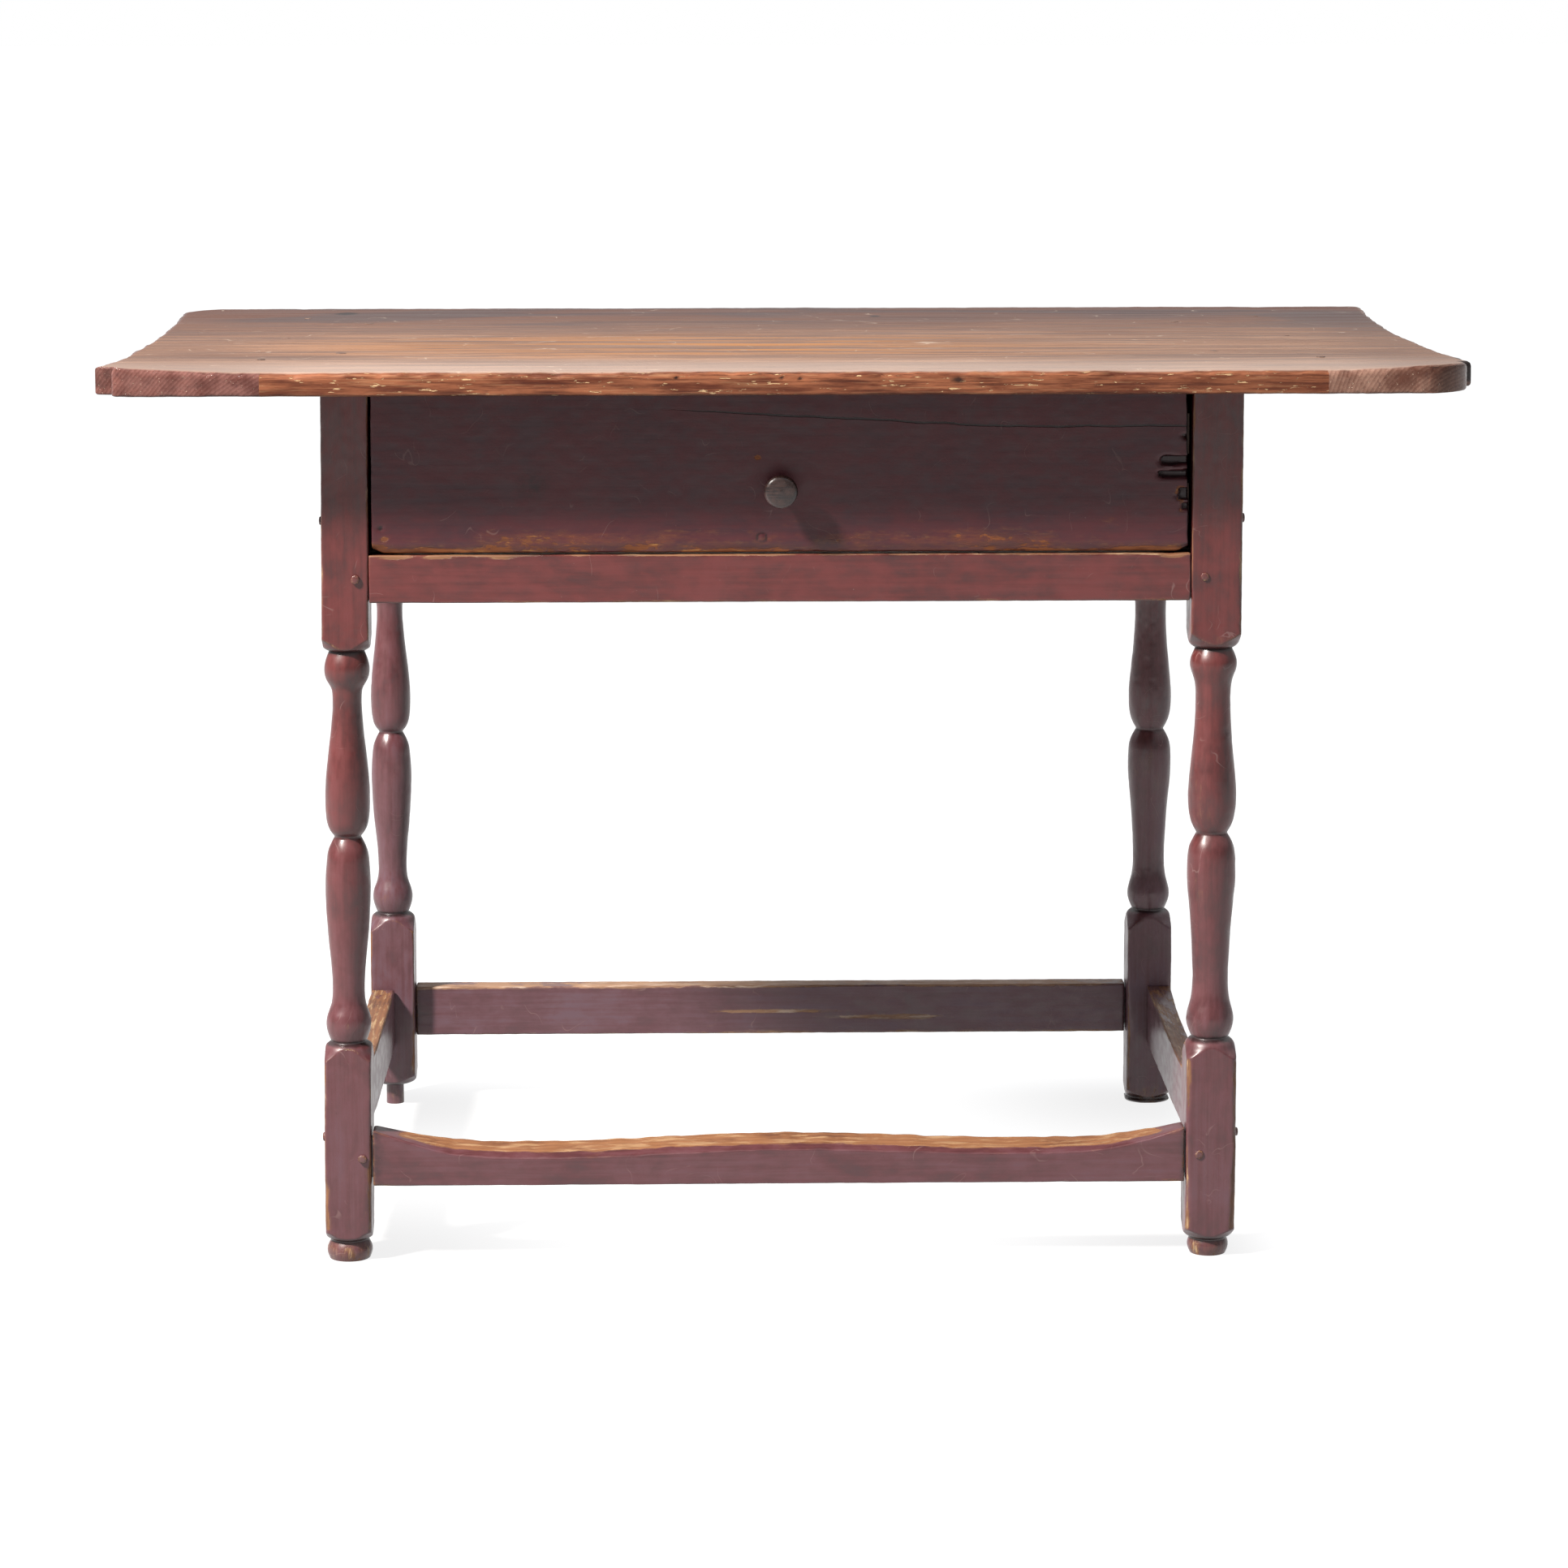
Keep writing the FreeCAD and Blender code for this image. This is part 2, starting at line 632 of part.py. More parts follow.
for (end, side), foot in FEET.items():
    label = f"{end}_{side}_leg"
    foot = [(as_size(radius).number, as_size(height).number) for radius, height in foot]
    centre = (leg_x[side], leg_y[end], 0)
    blank = turned(label + "_turning", leg_profile(side, foot), centre)
    stick = box(label + "_stick", (leg_x[side] - half_leg, leg_x[side] + half_leg),
                (leg_y[end] - half_leg, leg_y[end] + half_leg), (0, underside))
    eased = long_edges(label + "_eased", stick, (0, 0, 1), S.leg_arris, "Part::Chamfer")
    leg = doc.addObject("Part::Common", label + "_whole")
    leg.Base = eased
    leg.Tool = blank
    keep(cut(label, leg, tenons[(end, side)] + pegs[(end, side)]))

# ---- top: one wide board, tongued into an end board across each end -------------------------------
joint_x = {"left": -half_length + S.left_end_width, "right": half_length - S.right_end_width}
tongue_low = underside + (S.board_thickness - S.tongue_thickness) / 2

board = long_edges("top_board_eased", box(
    "top_board_plank", (joint_x["left"], joint_x["right"]), (-half_depth, half_depth), (underside, board_top)),
    (1, 0, 0), S.board_arris)
tongues = {}
end_pegs = {}
for side in ("left", "right"):
    out = outward[side]
    tongues[side] = box(f"{side}_tongue", span(joint_x[side], joint_x[side] + S.tongue_length * out),
                        (-half_depth + S.tongue_stop, half_depth - S.tongue_stop),
                        (tongue_low, tongue_low + S.tongue_thickness))
    end_pegs[side] = [rod(
        f"{side}_end_peg_{number + 2}", S.end_peg_diameter, S.board_thickness,
        (joint_x[side] + S.end_peg_inset * out, S.end_peg_spacing * number, underside), (0, 0, 1))
        for number in (-1, 0, 1)]
    keep(group(f"{side}_end_board_pegs", end_pegs[side]))
keep(cut("top_board", fuse("top_board_whole", [board, tongues["left"], tongues["right"]]),
         top_pins + end_pegs["left"] + end_pegs["right"]))


def curl_section(label, x, rise):
    """Side view of an end board at one X: flat, then curling up over its front by an arc."""
    sketch = doc.addObject("Sketcher::SketchObject", label)
    place(sketch, (x, 0, 0), FreeCAD.Rotation(Vector(1, 1, 1), 120))
    start = -half_depth + S.rise_run
    radius = (S.rise_run * S.rise_run + rise * rise) / (rise * 2)
    draw_loop(sketch, [(-half_depth, underside), (half_depth, underside), (half_depth, board_top),
                       (start, board_top), (-half_depth, board_top + rise)], {3: (radius, -1)})
    return sketch


def end_board(side, hollow, notch_depth, notch_reach, corner_round, back_round):
    """An end board: plan outline with its worn edge, met with the curled thickness, then grooved."""
    out = outward[side]
    outer = half_length * out
    body = doc.addObject("PartDesign::Body", f"{side}_end_board_plan")
    sketch = body_sketch(body, "XY_Plane", f"{side}_end_board_outline")
    notched = outer - notch_depth * out
    step = -half_depth + notch_reach
    back = half_depth - back_round
    chord = back - step
    edge_radius = (chord * chord / 4 + hollow * hollow) / (hollow * 2)
    corners = [
        (joint_x[side], -half_depth),
        (notched - corner_round * out, -half_depth),
        (notched, -half_depth + corner_round),
        (notched, step),
        (outer, step),
        (outer, back),
        (outer - back_round * out, half_depth),
        (joint_x[side], half_depth),
    ]
    draw_loop(sketch, corners, {1: (corner_round, out), 4: (edge_radius, -out), 5: (back_round, out)})
    pad = body.newObject("PartDesign::Pad", f"{side}_end_board_pad")
    pad.Profile = sketch
    pad.setExpression("Length", (S.board_thickness + S.corner_rise).text)
    body.Tip = pad
    place(body, (0, 0, underside))

    curl = doc.addObject("Part::Loft", f"{side}_end_board_curl")
    curl.Sections = [curl_section(f"{side}_end_joint_section", joint_x[side], S.joint_rise),
                     curl_section(f"{side}_end_outer_section", outer, S.corner_rise)]
    curl.Solid = True
    curl.Ruled = True
    whole = doc.addObject("Part::Common", f"{side}_end_board_whole")
    whole.Base = body
    whole.Tool = curl
    return cut(f"{side}_end_board", whole, [tongues[side]] + end_pegs[side])


keep(end_board("left", S.left_hollow, S.left_notch_depth, S.left_notch_reach, S.left_corner_round,
               S.left_back_round))
keep(end_board("right", S.right_hollow, S.right_notch_depth, S.right_notch_reach, S.right_corner_round,
               S.right_back_round))

# ---- drawer ---------------------------------------------------------------------------------------
drawer_front_y = face_y["front"] + S.rail_setback
drawer_back_y = apron_front - S.drawer_back_room
front_inside = drawer_front_y + S.drawer_front_thickness
side_low = runner_top + S.drawer_runner_gap
front_low = drawer_rail_top + S.drawer_front_gap
front_high = underside - S.drawer_top_gap
side_high = front_high - S.drawer_side_drop
bottom_low = side_low + S.drawer_bottom_rise
bottom_high = bottom_low + S.drawer_bottom_thickness
inside_x = {side: drawer_x[side] - S.drawer_side_thickness * outward[side] for side in ("left", "right")}
back_inside = drawer_back_y - S.drawer_back_thickness


def dovetail(label, side, height):
    """One tail of a drawer side: narrow at its root, flared where it ends inside the drawer front."""
    sketch = doc.addObject("Sketcher::SketchObject", label + "_outline")
    place(sketch, (span(drawer_x[side], inside_x[side])[0], 0, 0), FreeCAD.Rotation(Vector(1, 1, 1), 120))
    root = S.tail_width / 2 - S.tail_flare
    tip = front_inside - S.tail_length
    draw_loop(sketch, [(front_inside, height - root), (front_inside, height + root),
                       (tip, height + S.tail_width / 2), (tip, height - S.tail_width / 2)])
    tail = doc.addObject("Part::Extrusion", label)
    tail.Base = sketch
    tail.DirMode = "Custom"
    tail.Dir = Vector(1, 0, 0)
    tail.setExpression("LengthFwd", S.drawer_side_thickness.text)
    tail.Solid = True
    return tail


bottom_board = box("drawer_bottom_panel",
                   (inside_x["left"] - S.drawer_groove_depth, inside_x["right"] + S.drawer_groove_depth),
                   (front_inside - S.drawer_groove_depth, drawer_back_y), (bottom_low, bottom_high))
back_board = box("drawer_back_board", (inside_x["left"], inside_x["right"]), (back_inside, drawer_back_y),
                 (bottom_high, side_high))
nail_y = drawer_back_y - S.drawer_back_thickness / 2
bottom_nails = [rod(
    f"drawer_bottom_nail_{number + 2}", S.nail_diameter, S.drawer_bottom_thickness + S.nail_bite,
    (frame_x + S.nail_spacing * number, nail_y, bottom_low), (0, 0, 1)) for number in (-1, 0, 1)]

tail_middle = (bottom_high + side_high) / 2
tails = []
side_nails = []
for side in ("left", "right"):
    out = outward[side]
    side_tails = [dovetail(f"drawer_{side}_{name}_tail", side, tail_middle + S.tail_spacing / 2 * level)
                  for name, level in (("lower", -1), ("upper", 1))]
    tails += side_tails
    plank = box(f"drawer_{side}_plank", span(drawer_x[side], inside_x[side]), (front_inside, drawer_back_y),
                (side_low, side_high))
    nails = [rod(
        f"drawer_{side}_nail_{number + 2}", S.nail_diameter, S.drawer_side_thickness + S.nail_bite,
        (drawer_x[side], nail_y, tail_middle + S.tail_spacing / 2 * number), (-out, 0, 0)) for number in (-1, 1)]
    side_nails += nails
    keep(cut(f"drawer_{side}_side", fuse(f"drawer_{side}_side_whole", [plank] + side_tails),
             [bottom_board] + nails))
keep(cut("drawer_bottom", bottom_board, bottom_nails))
keep(cut("drawer_back", back_board, bottom_nails + side_nails))
keep(group("drawer_nails", bottom_nails + side_nails))

# knob: turned in one piece with the tenon that holds it in the drawer front
knob_height = (front_low + front_high) / 2 - S.knob_drop
knob = doc.addObject("PartDesign::Body", "drawer_knob")
knob_sketch = body_sketch(knob, "XY_Plane", "drawer_knob_profile")
cap_radius = S.knob_diameter / 2
cap_back = S.knob_reach - S.knob_cap_height
crown = (cap_radius * cap_radius + (S.knob_cap_height / 3) * (S.knob_cap_height / 3)) / (S.knob_cap_height / 3 * 2)
rim = S.knob_reach - S.knob_cap_height / 3
draw_loop(knob_sketch, [
    (0, -(S.drawer_front_thickness + S.knob_tenon_proud)),
    (S.knob_tenon_diameter / 2, -(S.drawer_front_thickness + S.knob_tenon_proud)),
    (S.knob_tenon_diameter / 2, 0),
    (S.knob_foot_diameter / 2, 0),
    (S.knob_stem_diameter / 2, cap_back / 2),
    (cap_radius * 0.8, cap_back),
    (cap_radius, rim),
    (0, S.knob_reach),
], {6: (crown, 1)})
turning = knob.newObject("PartDesign::Revolution", "drawer_knob_turning")
turning.Profile = knob_sketch
turning.ReferenceAxis = (knob_sketch, ["V_Axis"])
turning.Angle = 360
knob.Tip = turning
place(knob, (frame_x, drawer_front_y, knob_height), FreeCAD.Rotation(Vector(0, 0, 1), 180))
keep(knob)

front_board = long_edges("drawer_front_eased", box(
    "drawer_front_board", (drawer_x["left"], drawer_x["right"]), (drawer_front_y, front_inside),
    (front_low, front_high)), (1, 0, 0), S.stretcher_arris, pick=lambda p: p.y < (drawer_front_y + 1).number)
knob_hole = rod("knob_hole", S.knob_tenon_diameter, S.drawer_front_thickness,
                (frame_x, drawer_front_y, knob_height), (0, 1, 0))
keep(cut("drawer_front", front_board, tails + [bottom_board, knob_hole]))

doc.recompute()
for item in doc.Objects:
    if "Invalid" in item.State or "Error" in item.State:
        raise RuntimeError(f"{item.Label} did not build: {item.State}")
for piece in pieces:
    if piece.Shape.isNull() or not piece.Shape.isValid():
        raise RuntimeError(f"{piece.Label} has no valid shape")
for piece in pieces:
    piece.Shape.exportStep(f"parts/{piece.Label}.step")
    print(piece.Label, len(piece.Shape.Solids), round(piece.Shape.Volume))
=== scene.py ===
import bpy
import numpy as np
from mathutils import Matrix, Vector


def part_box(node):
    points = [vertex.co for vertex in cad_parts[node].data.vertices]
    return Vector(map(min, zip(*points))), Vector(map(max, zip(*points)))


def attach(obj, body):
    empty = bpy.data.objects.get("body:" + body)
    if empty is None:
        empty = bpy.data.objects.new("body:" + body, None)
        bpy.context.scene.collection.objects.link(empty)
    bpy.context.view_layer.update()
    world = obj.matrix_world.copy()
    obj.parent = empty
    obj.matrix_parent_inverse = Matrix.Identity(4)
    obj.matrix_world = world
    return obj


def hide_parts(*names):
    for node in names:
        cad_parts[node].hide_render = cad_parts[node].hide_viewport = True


# An old painted tavern table: a scrubbed pine top with end boards, on a red-painted frame of turned
# legs, worn stretchers and one drawer.  Shapes are worked out in millimetres and put down in metres.

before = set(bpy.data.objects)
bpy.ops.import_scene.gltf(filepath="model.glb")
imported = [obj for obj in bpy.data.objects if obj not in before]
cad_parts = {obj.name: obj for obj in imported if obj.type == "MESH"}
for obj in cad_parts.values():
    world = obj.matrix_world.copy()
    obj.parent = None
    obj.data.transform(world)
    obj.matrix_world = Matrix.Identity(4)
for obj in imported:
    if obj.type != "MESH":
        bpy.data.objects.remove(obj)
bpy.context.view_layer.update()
MM = 0.001
# middle of the frame along X, the legs' axes from there, half a leg's width, and the top's two levels,
# half its depth and where its main board ends
MIDDLE_X, LEG_REACH, LEG_Y, HALF_STICK = -6.0, 325.0, 242.0, 19.0
UNDER, FACE, HALF_DEPTH = 663.0, 681.0, 324.0
JOINT = {"left": 385.0, "right": 392.0}
TOP_END = 507.0


# ---- surfaces -------------------------------------------------------------------------------------
def lumps(points, size, seed, octaves=2):
    """Smooth noise from about -1 to 1: random values on a cubic lattice of that size, blended with
    smoothstep weights, with finer and weaker octaves added."""
    total = np.zeros(points.shape[:-1])
    for octave in range(octaves):
        table = np.random.default_rng(seed + octave).uniform(-1, 1, (32, 32, 32))
        scaled = points / size * 2 ** octave + 7.3
        base = np.floor(scaled).astype(int)
        part = scaled - base
        part = part * part * (3 - 2 * part)
        for corner in range(8):
            offset = np.array([corner >> 2 & 1, corner >> 1 & 1, corner & 1])
            weight = np.where(offset, part, 1 - part).prod(axis=-1)
            x, y, z = np.moveaxis((base + offset) % 32, -1, 0)
            total += weight * table[x, y, z] * 0.6 ** octave
    return total


def ramp(values, low, high):
    """0 below low, 1 above high, and a smoothstep between; falls instead where low is above high."""
    share = np.clip((values - low) / (high - low), 0, 1)
    return share * share * (3 - 2 * share)


def spot(*ranges):
    """A bell of height 1, from (values, middle, reach) for each direction in which it falls off."""
    return np.exp(-sum(((values - middle) / reach) ** 2 for values, middle, reach in ranges))


def largest(*maps):
    return np.maximum.reduce(maps)


def ruled(low, high, step, fine=(0.5, 1.1, 1.9, 3.0, 4.6)):
    """Lattice lines from low to high about step apart, with extra lines close to each end."""
    fine = np.array([f for f in fine if f < (high - low) / 3])
    reach = fine[-1] if len(fine) else 0
    count = max(2, int(round((high - low - 2 * reach) / step)) + 1)
    middle = np.linspace(low + reach, high - reach, count)
    return np.unique(np.concatenate([[low], low + fine, middle, high - fine, [high]]))


def box_skin(low, high, steps):
    """The outside of a box between two corners, whose lattice lines are about steps apart: its points,
    and its quads facing outwards, one grid for each of the six sides, which share their border points."""
    lines = [ruled(*each) for each in zip(low, high, steps)]
    shape = tuple(len(line) for line in lines)
    place = np.indices(shape)
    outside = np.any([index % (count - 1) == 0 for index, count in zip(place, shape)], axis=0)
    number = np.full(shape, -1)
    number[outside] = np.arange(outside.sum())
    points = np.stack([line[index[outside]] for line, index in zip(lines, place)], axis=1)
    quads = []
    for axis in range(3):
        for end in (0, -1):
            side = np.take(number, end, axis=axis)
            quad = np.stack([side[:-1, :-1], side[1:, :-1], side[1:, 1:], side[:-1, 1:]], axis=-1)
            flip = (axis == 1) != (end == 0)
            quads.append(quad.reshape(-1, 4)[:, ::-1 if flip else 1])
    return points, np.concatenate(quads)


def ease(points, low, high, radius):
    """Rounds a box: each point goes onto the ball of its radius about the nearest point of the box
    that is smaller by that radius all round."""
    radius = np.minimum(radius, (high - low).min() * 0.49)[:, None]
    core = np.clip(points, low + radius, high - radius)
    away = points - core
    distance = np.maximum(np.linalg.norm(away, axis=1, keepdims=True), 1e-9)
    return core + away * np.minimum(radius / distance, 1)


def lathe_skin(grid, **maps):
    """The skin of a grid of rings (rows, columns, 3) that run upwards with their columns anticlockwise.
    A point is added at the middle of the first and the last ring, where each map is 0."""
    rows, columns = grid.shape[:2]
    number = np.arange(rows * columns).reshape(rows, columns)
    following = np.roll(number, -1, axis=1)
    quads = np.stack([number[:-1], following[:-1], following[1:], number[1:]], axis=-1).reshape(-1, 4)
    points = np.concatenate([grid.reshape(-1, 3), grid[[0, -1]].mean(axis=1)])
    low = np.stack([following[0], number[0], np.full(columns, rows * columns)], axis=-1)
    high = np.stack([number[-1], following[-1], np.full(columns, rows * columns + 1)], axis=-1)
    maps = {name: np.append(np.broadcast_to(each, number.shape), (0, 0)) for name, each in maps.items()}
    return points, quads, np.concatenate([low, high]), maps


def join(skins):
    """Several skins, each (points, quads, triangles, maps), as one."""
    points, quads, triangles, maps = zip(*skins)
    offsets = np.cumsum([0] + [len(each) for each in points])
    return (np.concatenate(points), np.concatenate([each + offset for each, offset in zip(quads, offsets)]),
            np.concatenate([each + offset for each, offset in zip(triangles, offsets)]),
            {name: np.concatenate([each[name] for each in maps]) for name in maps[0]})


def new_object(name, data):
    made = bpy.data.objects.new(name, data)
    bpy.context.scene.collection.objects.link(made)
    return made


def make_piece(name, skin, body, slot, finish, *nodes):
    """A mesh object in the table's frame from a skin (points in millimetres, quads, triangles, and maps
    of one value for each point), riding on a body and standing for solids."""
    points, quads, triangles, maps = skin
    mesh = bpy.data.meshes.new(name)
    mesh.vertices.add(len(points))
    mesh.vertices.foreach_set("co", (points * MM).astype(np.float32).ravel())
    corners = np.concatenate([quads.ravel(), triangles.ravel()]).astype(np.int32)
    starts = np.concatenate([np.arange(len(quads)) * 4, quads.size + np.arange(len(triangles)) * 3])
    mesh.loops.add(len(corners))
    mesh.loops.foreach_set("vertex_index", corners)
    mesh.polygons.add(len(starts))
    mesh.polygons.foreach_set("loop_start", starts.astype(np.int32))
    for label, values in maps.items():
        mesh.attributes.new(label, "FLOAT", "POINT").data.foreach_set("value", values.astype(np.float32))
    mesh.update(calc_edges=True)
    mesh.validate()
    mesh.shade_smooth()
    mesh.set_sharp_from_angle(angle=1.1)
    mesh.materials.append(finish)
    piece = new_object(name, mesh)
    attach(piece, body)
    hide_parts(*nodes)


# ---- finishes -------------------------------------------------------------------------------------
def tint(code):
    """A screen colour such as "#8a4030", as the linear colour that a shader takes."""
    screen = np.array([int(code[n:n + 2], 16) for n in (1, 3, 5)]) / 255
    linear = np.where(screen <= 0.04045, screen / 12.92, ((screen + 0.055) / 1.055) ** 2.4)
    return (*[float(value) for value in linear], 1.0)


class Value:
    """One output of a shader node; sums and products with other values or numbers add nodes."""

    def __init__(self, steps, socket):
        self.steps, self.socket = steps, socket

    def __add__(self, other):
        return self.steps.math("ADD", self, other)

    def __sub__(self, number):
        return self + -number

    def __mul__(self, other):
        return self.steps.math("MULTIPLY", self, other)

    def __abs__(self):
        return self.steps.math("ABSOLUTE", self)

    def step(self, low, high, bottom=0.0, top=1.0):
        """From bottom to top as the value goes from low to high, eased at both ends."""
        return self.steps.node("MapRange", {0: self, 1: low, 2: high, 3: bottom, 4: top},
                               interpolation_type="SMOOTHSTEP")


class Steps:
    """A shader tree written as steps: each call adds a node and gives back one of its outputs."""

    def __init__(self, tree):
        self.tree = tree

    def put(self, value, socket):
        """Joins a value to a node's input, or sets the input to a number, a vector or a screen colour."""
        if isinstance(value, Value):
            self.tree.links.new(value.socket, socket)
        else:
            socket.default_value = tint(value) if isinstance(value, str) else value

    def make(self, kind, inputs=(), **settings):
        made = self.tree.nodes.new("ShaderNode" + kind)
        for name, value in settings.items():
            setattr(made, name, value)
        for place, value in dict(inputs).items():
            self.put(value, made.inputs[place])
        return made

    def node(self, kind, inputs=(), output=0, **settings):
        return Value(self, self.make(kind, inputs, **settings).outputs[output])

    def outputs(self, kind, inputs=(), **settings):
        """Adds a node, and gives all its outputs by name."""
        return {socket.name: Value(self, socket) for socket in self.make(kind, inputs, **settings).outputs}

    def group(self, tree, **inputs):
        return self.outputs("Group", inputs, node_tree=tree)

    def math(self, operation, *values):
        return self.node("Math", dict(enumerate(values)), operation=operation)

    def vector(self, operation, *values, output=0):
        return self.node("VectorMath", dict(enumerate(values)), output, operation=operation)

    def axes(self, vector):
        return list(self.outputs("SeparateXYZ", {0: vector}).values())

    def most(self, a, b):
        return self.math("MAXIMUM", a, b)

    def painted_map(self, label):
        """One of the maps stored with a piece's points."""
        return self.node("Attribute", output="Fac", attribute_name=label)

    def noise(self, vector, size, detail=3.0, roughness=0.55, twist=0.0, along=1.0):
        """Noise about 0.5 whose features are about size millimetres across, and longer along the first
        axis where along is less than 1."""
        if along != 1:
            vector = self.vector("MULTIPLY", vector, (along, 1.0, 1.0))
        scale = self.math("DIVIDE", 1.0, size) if isinstance(size, Value) else 1 / size
        return self.node("TexNoise", {"Vector": vector, "Scale": scale, "Detail": detail,
                                      "Roughness": roughness, "Distortion": twist})

    def blend(self, share, a, b):
        return self.node("Mix", {0: share, 6: a, 7: b}, 2, data_type="RGBA")

    def coats(self, colour, *coats):
        """A colour under several coats, each (share, colour)."""
        for share, tone in coats:
            colour = self.blend(share, colour, tone)
        return colour

    def give(self, **values):
        """Ends a node group with an output for each value, and gives its tree."""
        for label in values:
            kind = "Color" if label == "Colour" else "Float"
            self.tree.interface.new_socket(label, in_out="OUTPUT", socket_type="NodeSocket" + kind)
        end = self.tree.nodes.new("NodeGroupOutput").inputs
        for label, value in values.items():
            self.put(value, end[label])
        return self.tree


def new_group(name, colours="", **inputs):
    """A node group with a place, colours and other inputs with their defaults: its steps and each input."""
    tree = bpy.data.node_groups.new(name, "ShaderNodeTree")
    inputs = {"Place": ORIGIN, **dict.fromkeys(colours.split(), WHITE), **inputs}
    for label, value in inputs.items():
        kind = "Float" if isinstance(value, float) else {3: "Vector", 4: "Color"}[len(value)]
        socket = tree.interface.new_socket(label, in_out="INPUT", socket_type="NodeSocket" + kind)
        socket.default_value = value
    steps = Steps(tree)
    start = tree.nodes.new("NodeGroupInput").outputs
    return steps, *[Value(steps, start[label]) for label in inputs]


ORIGIN = (0.0, 0.0, 0.0)
WHITE = (1.0, 1.0, 1.0, 1.0)

# Grain of a board cut from a log: growth rings are the distance from a wandering heart line, and
# fibres are noise drawn out along the grain.
g, place, heart, spacing, wander = new_group("wood_grain", Heart=ORIGIN, Spacing=5.0, Wander=20.0)
wandered = (g.noise(place, 90, 2, along=0.25) - 0.5) * wander
from_heart = g.vector("SUBTRACT", g.vector("MULTIPLY", place, (0.0, 1.0, 1.0)), heart)
distance = g.vector("LENGTH", from_heart, output=1) + wandered
turn = g.math("FRACT", g.math("DIVIDE", distance, spacing))
grain_tree = g.give(Rings=turn.step(0.15, 0.85) * turn.step(0.88, 1.0, 1.0, 0.0),
                    Fibres=g.noise(place, 1.3, 3, 0.6, along=0.03),
                    Streaks=g.noise(place, 12, 3, 0.6, along=0.05))

# Paint that wear has taken off: where rubbing, broken up by noise, passes a threshold.
g, place, rub = new_group("paint_loss", Rub=0.0)
coarse = g.noise(place, 13, 4, 0.62, along=0.4) - 0.5
fine = g.noise(place, 2.6, 3, 0.6, 0.4, along=0.3) - 0.5
drive = rub + (coarse + fine * 0.55)
loss_tree = g.give(Bare=drive.step(0.50, 0.57), Thin=drive.step(0.22, 0.52),
                   Height=drive.step(0.44, 0.60, 0.28, 0.0))

# Hairline scratches: thin lines where a twisted noise crosses its middle value, kept in patches.
g, place, size, share = new_group("hairline_scratches", Size=60.0, Share=0.5)
line = abs(g.noise(place, size, 1.5, 0.5, 1.2) - 0.5).step(0.0015, 0.006, 1.0, 0.0)
kept = (g.noise(place, 26, 2) + share * 0.2).step(0.56, 0.66)
scratch_tree = g.give(Mask=line * kept)

# Old paint: a smooth deep coat that has faded in soft patches, with faint brush marks, dents and dark
# specks, and a grey bloom that grows towards the floor and towards the back, where it is a painted
# reflection of the backdrop.
g, place, deep, middle, bloom, greying = new_group("old_paint", "Deep Middle Bloom", Dust=0.5)
patches = g.noise(place, 55, 4, 0.55, 0.8)
brushed = g.noise(place, 4.2, 3, 0.6, along=0.04)
mottle = g.noise(place, 9, 4, 0.6, along=0.5)
fine = g.noise(place, 1.6, 3, 0.6, along=0.3)
specks = g.noise(place, 1.9, 2, 0.6).step(0.73, 0.79)
flecks = g.noise(place, 2.4, 3, 0.65).step(0.71, 0.78)
marks = g.group(scratch_tree, Place=place, Size=44.0, Share=0.15)["Mask"]
faded = (patches * 0.4 + brushed * 0.28 + mottle * 0.32).step(0.32, 0.62)
greyed = ((patches * 0.35 + mottle * 0.3 + brushed * 0.35).step(0.40, 0.68) * 0.6 + 0.4) * greying
coat = g.coats(deep, (faded, middle), (greyed, bloom), (specks * 0.35, g.blend(0.6, deep, "#000000")),
               (g.most(flecks * 0.45, marks * 0.35), g.blend(0.35, bloom, "#d6b0a0")))
paint_tree = g.give(Colour=coat, Height=brushed * 0.30 + mottle * 0.25 + fine * 0.05,
                    Gloss=mottle.step(0.35, 0.65))

# Bare wood under the paint: pale and ochre where fresh, grey-brown where handled.
g, place, dark, ochre, pale, freshness = new_group("handled_wood", "Dark Ochre Pale", Freshness=0.5)
streak = g.noise(place, 2.2, 4, 0.65, along=0.06)
patch = g.noise(place, 17, 4, 0.6, along=0.35)
fleck = g.noise(place, 3.4, 4, 0.62, along=0.12)
fresher = freshness - 0.5
colour = g.coats(dark, ((patch * 0.6 + streak * 0.4 + fresher * 0.35).step(0.34, 0.56), ochre),
                 ((fleck + fresher * 0.2).step(0.52, 0.68), pale))
bare_tree = g.give(Colour=colour, Height=streak)

# Painted shade and grime, as much as their map gives, with a ragged border.
g, place, amount = new_group("grime", Amount=0.0)
shade_and_grime_tree = g.give(Mask=(amount + (g.noise(place, 7, 4, 0.65) - 0.5) * 0.7).step(0.15, 0.85))


def mound(value, middle, reach):
    """1 at the middle of a value's range and 0 further off than its reach."""
    return abs(value - middle).step(0.0, reach, 1.0, 0.0)


# The top's scrubbed face: long streaks along the table that run on over all three boards, an ochre glow in
# front of the middle, a painted pale sheen along the front for the backdrop's reflection, a darker back
# with blue-grey stains, hairline scratches and small pits.
g, place = new_group("scrubbed_face")
along, across, _ = g.axes(place)
soft = g.noise(place, 17, 4, 0.6, 0.5, along=0.07)
broad = g.noise(place, 100, 3, 0.55, 0.6, along=0.3)
lines = g.noise(place, 3.4, 4, 0.66, along=0.02)
hairs = g.noise(place, 1.1, 2, 0.6, along=0.03)
glow = mound(along, -70.0, 420.0) * mound(across, -90.0, 170.0) * 0.9
ends = g.most(along.step(-330.0, -470.0), along.step(400.0, 480.0))
rear = (across + broad * 90.0).step(-40.0, 330.0)
blots = (broad + rear * 0.08).step(0.54, 0.66) * (rear * 0.50 + 0.10)
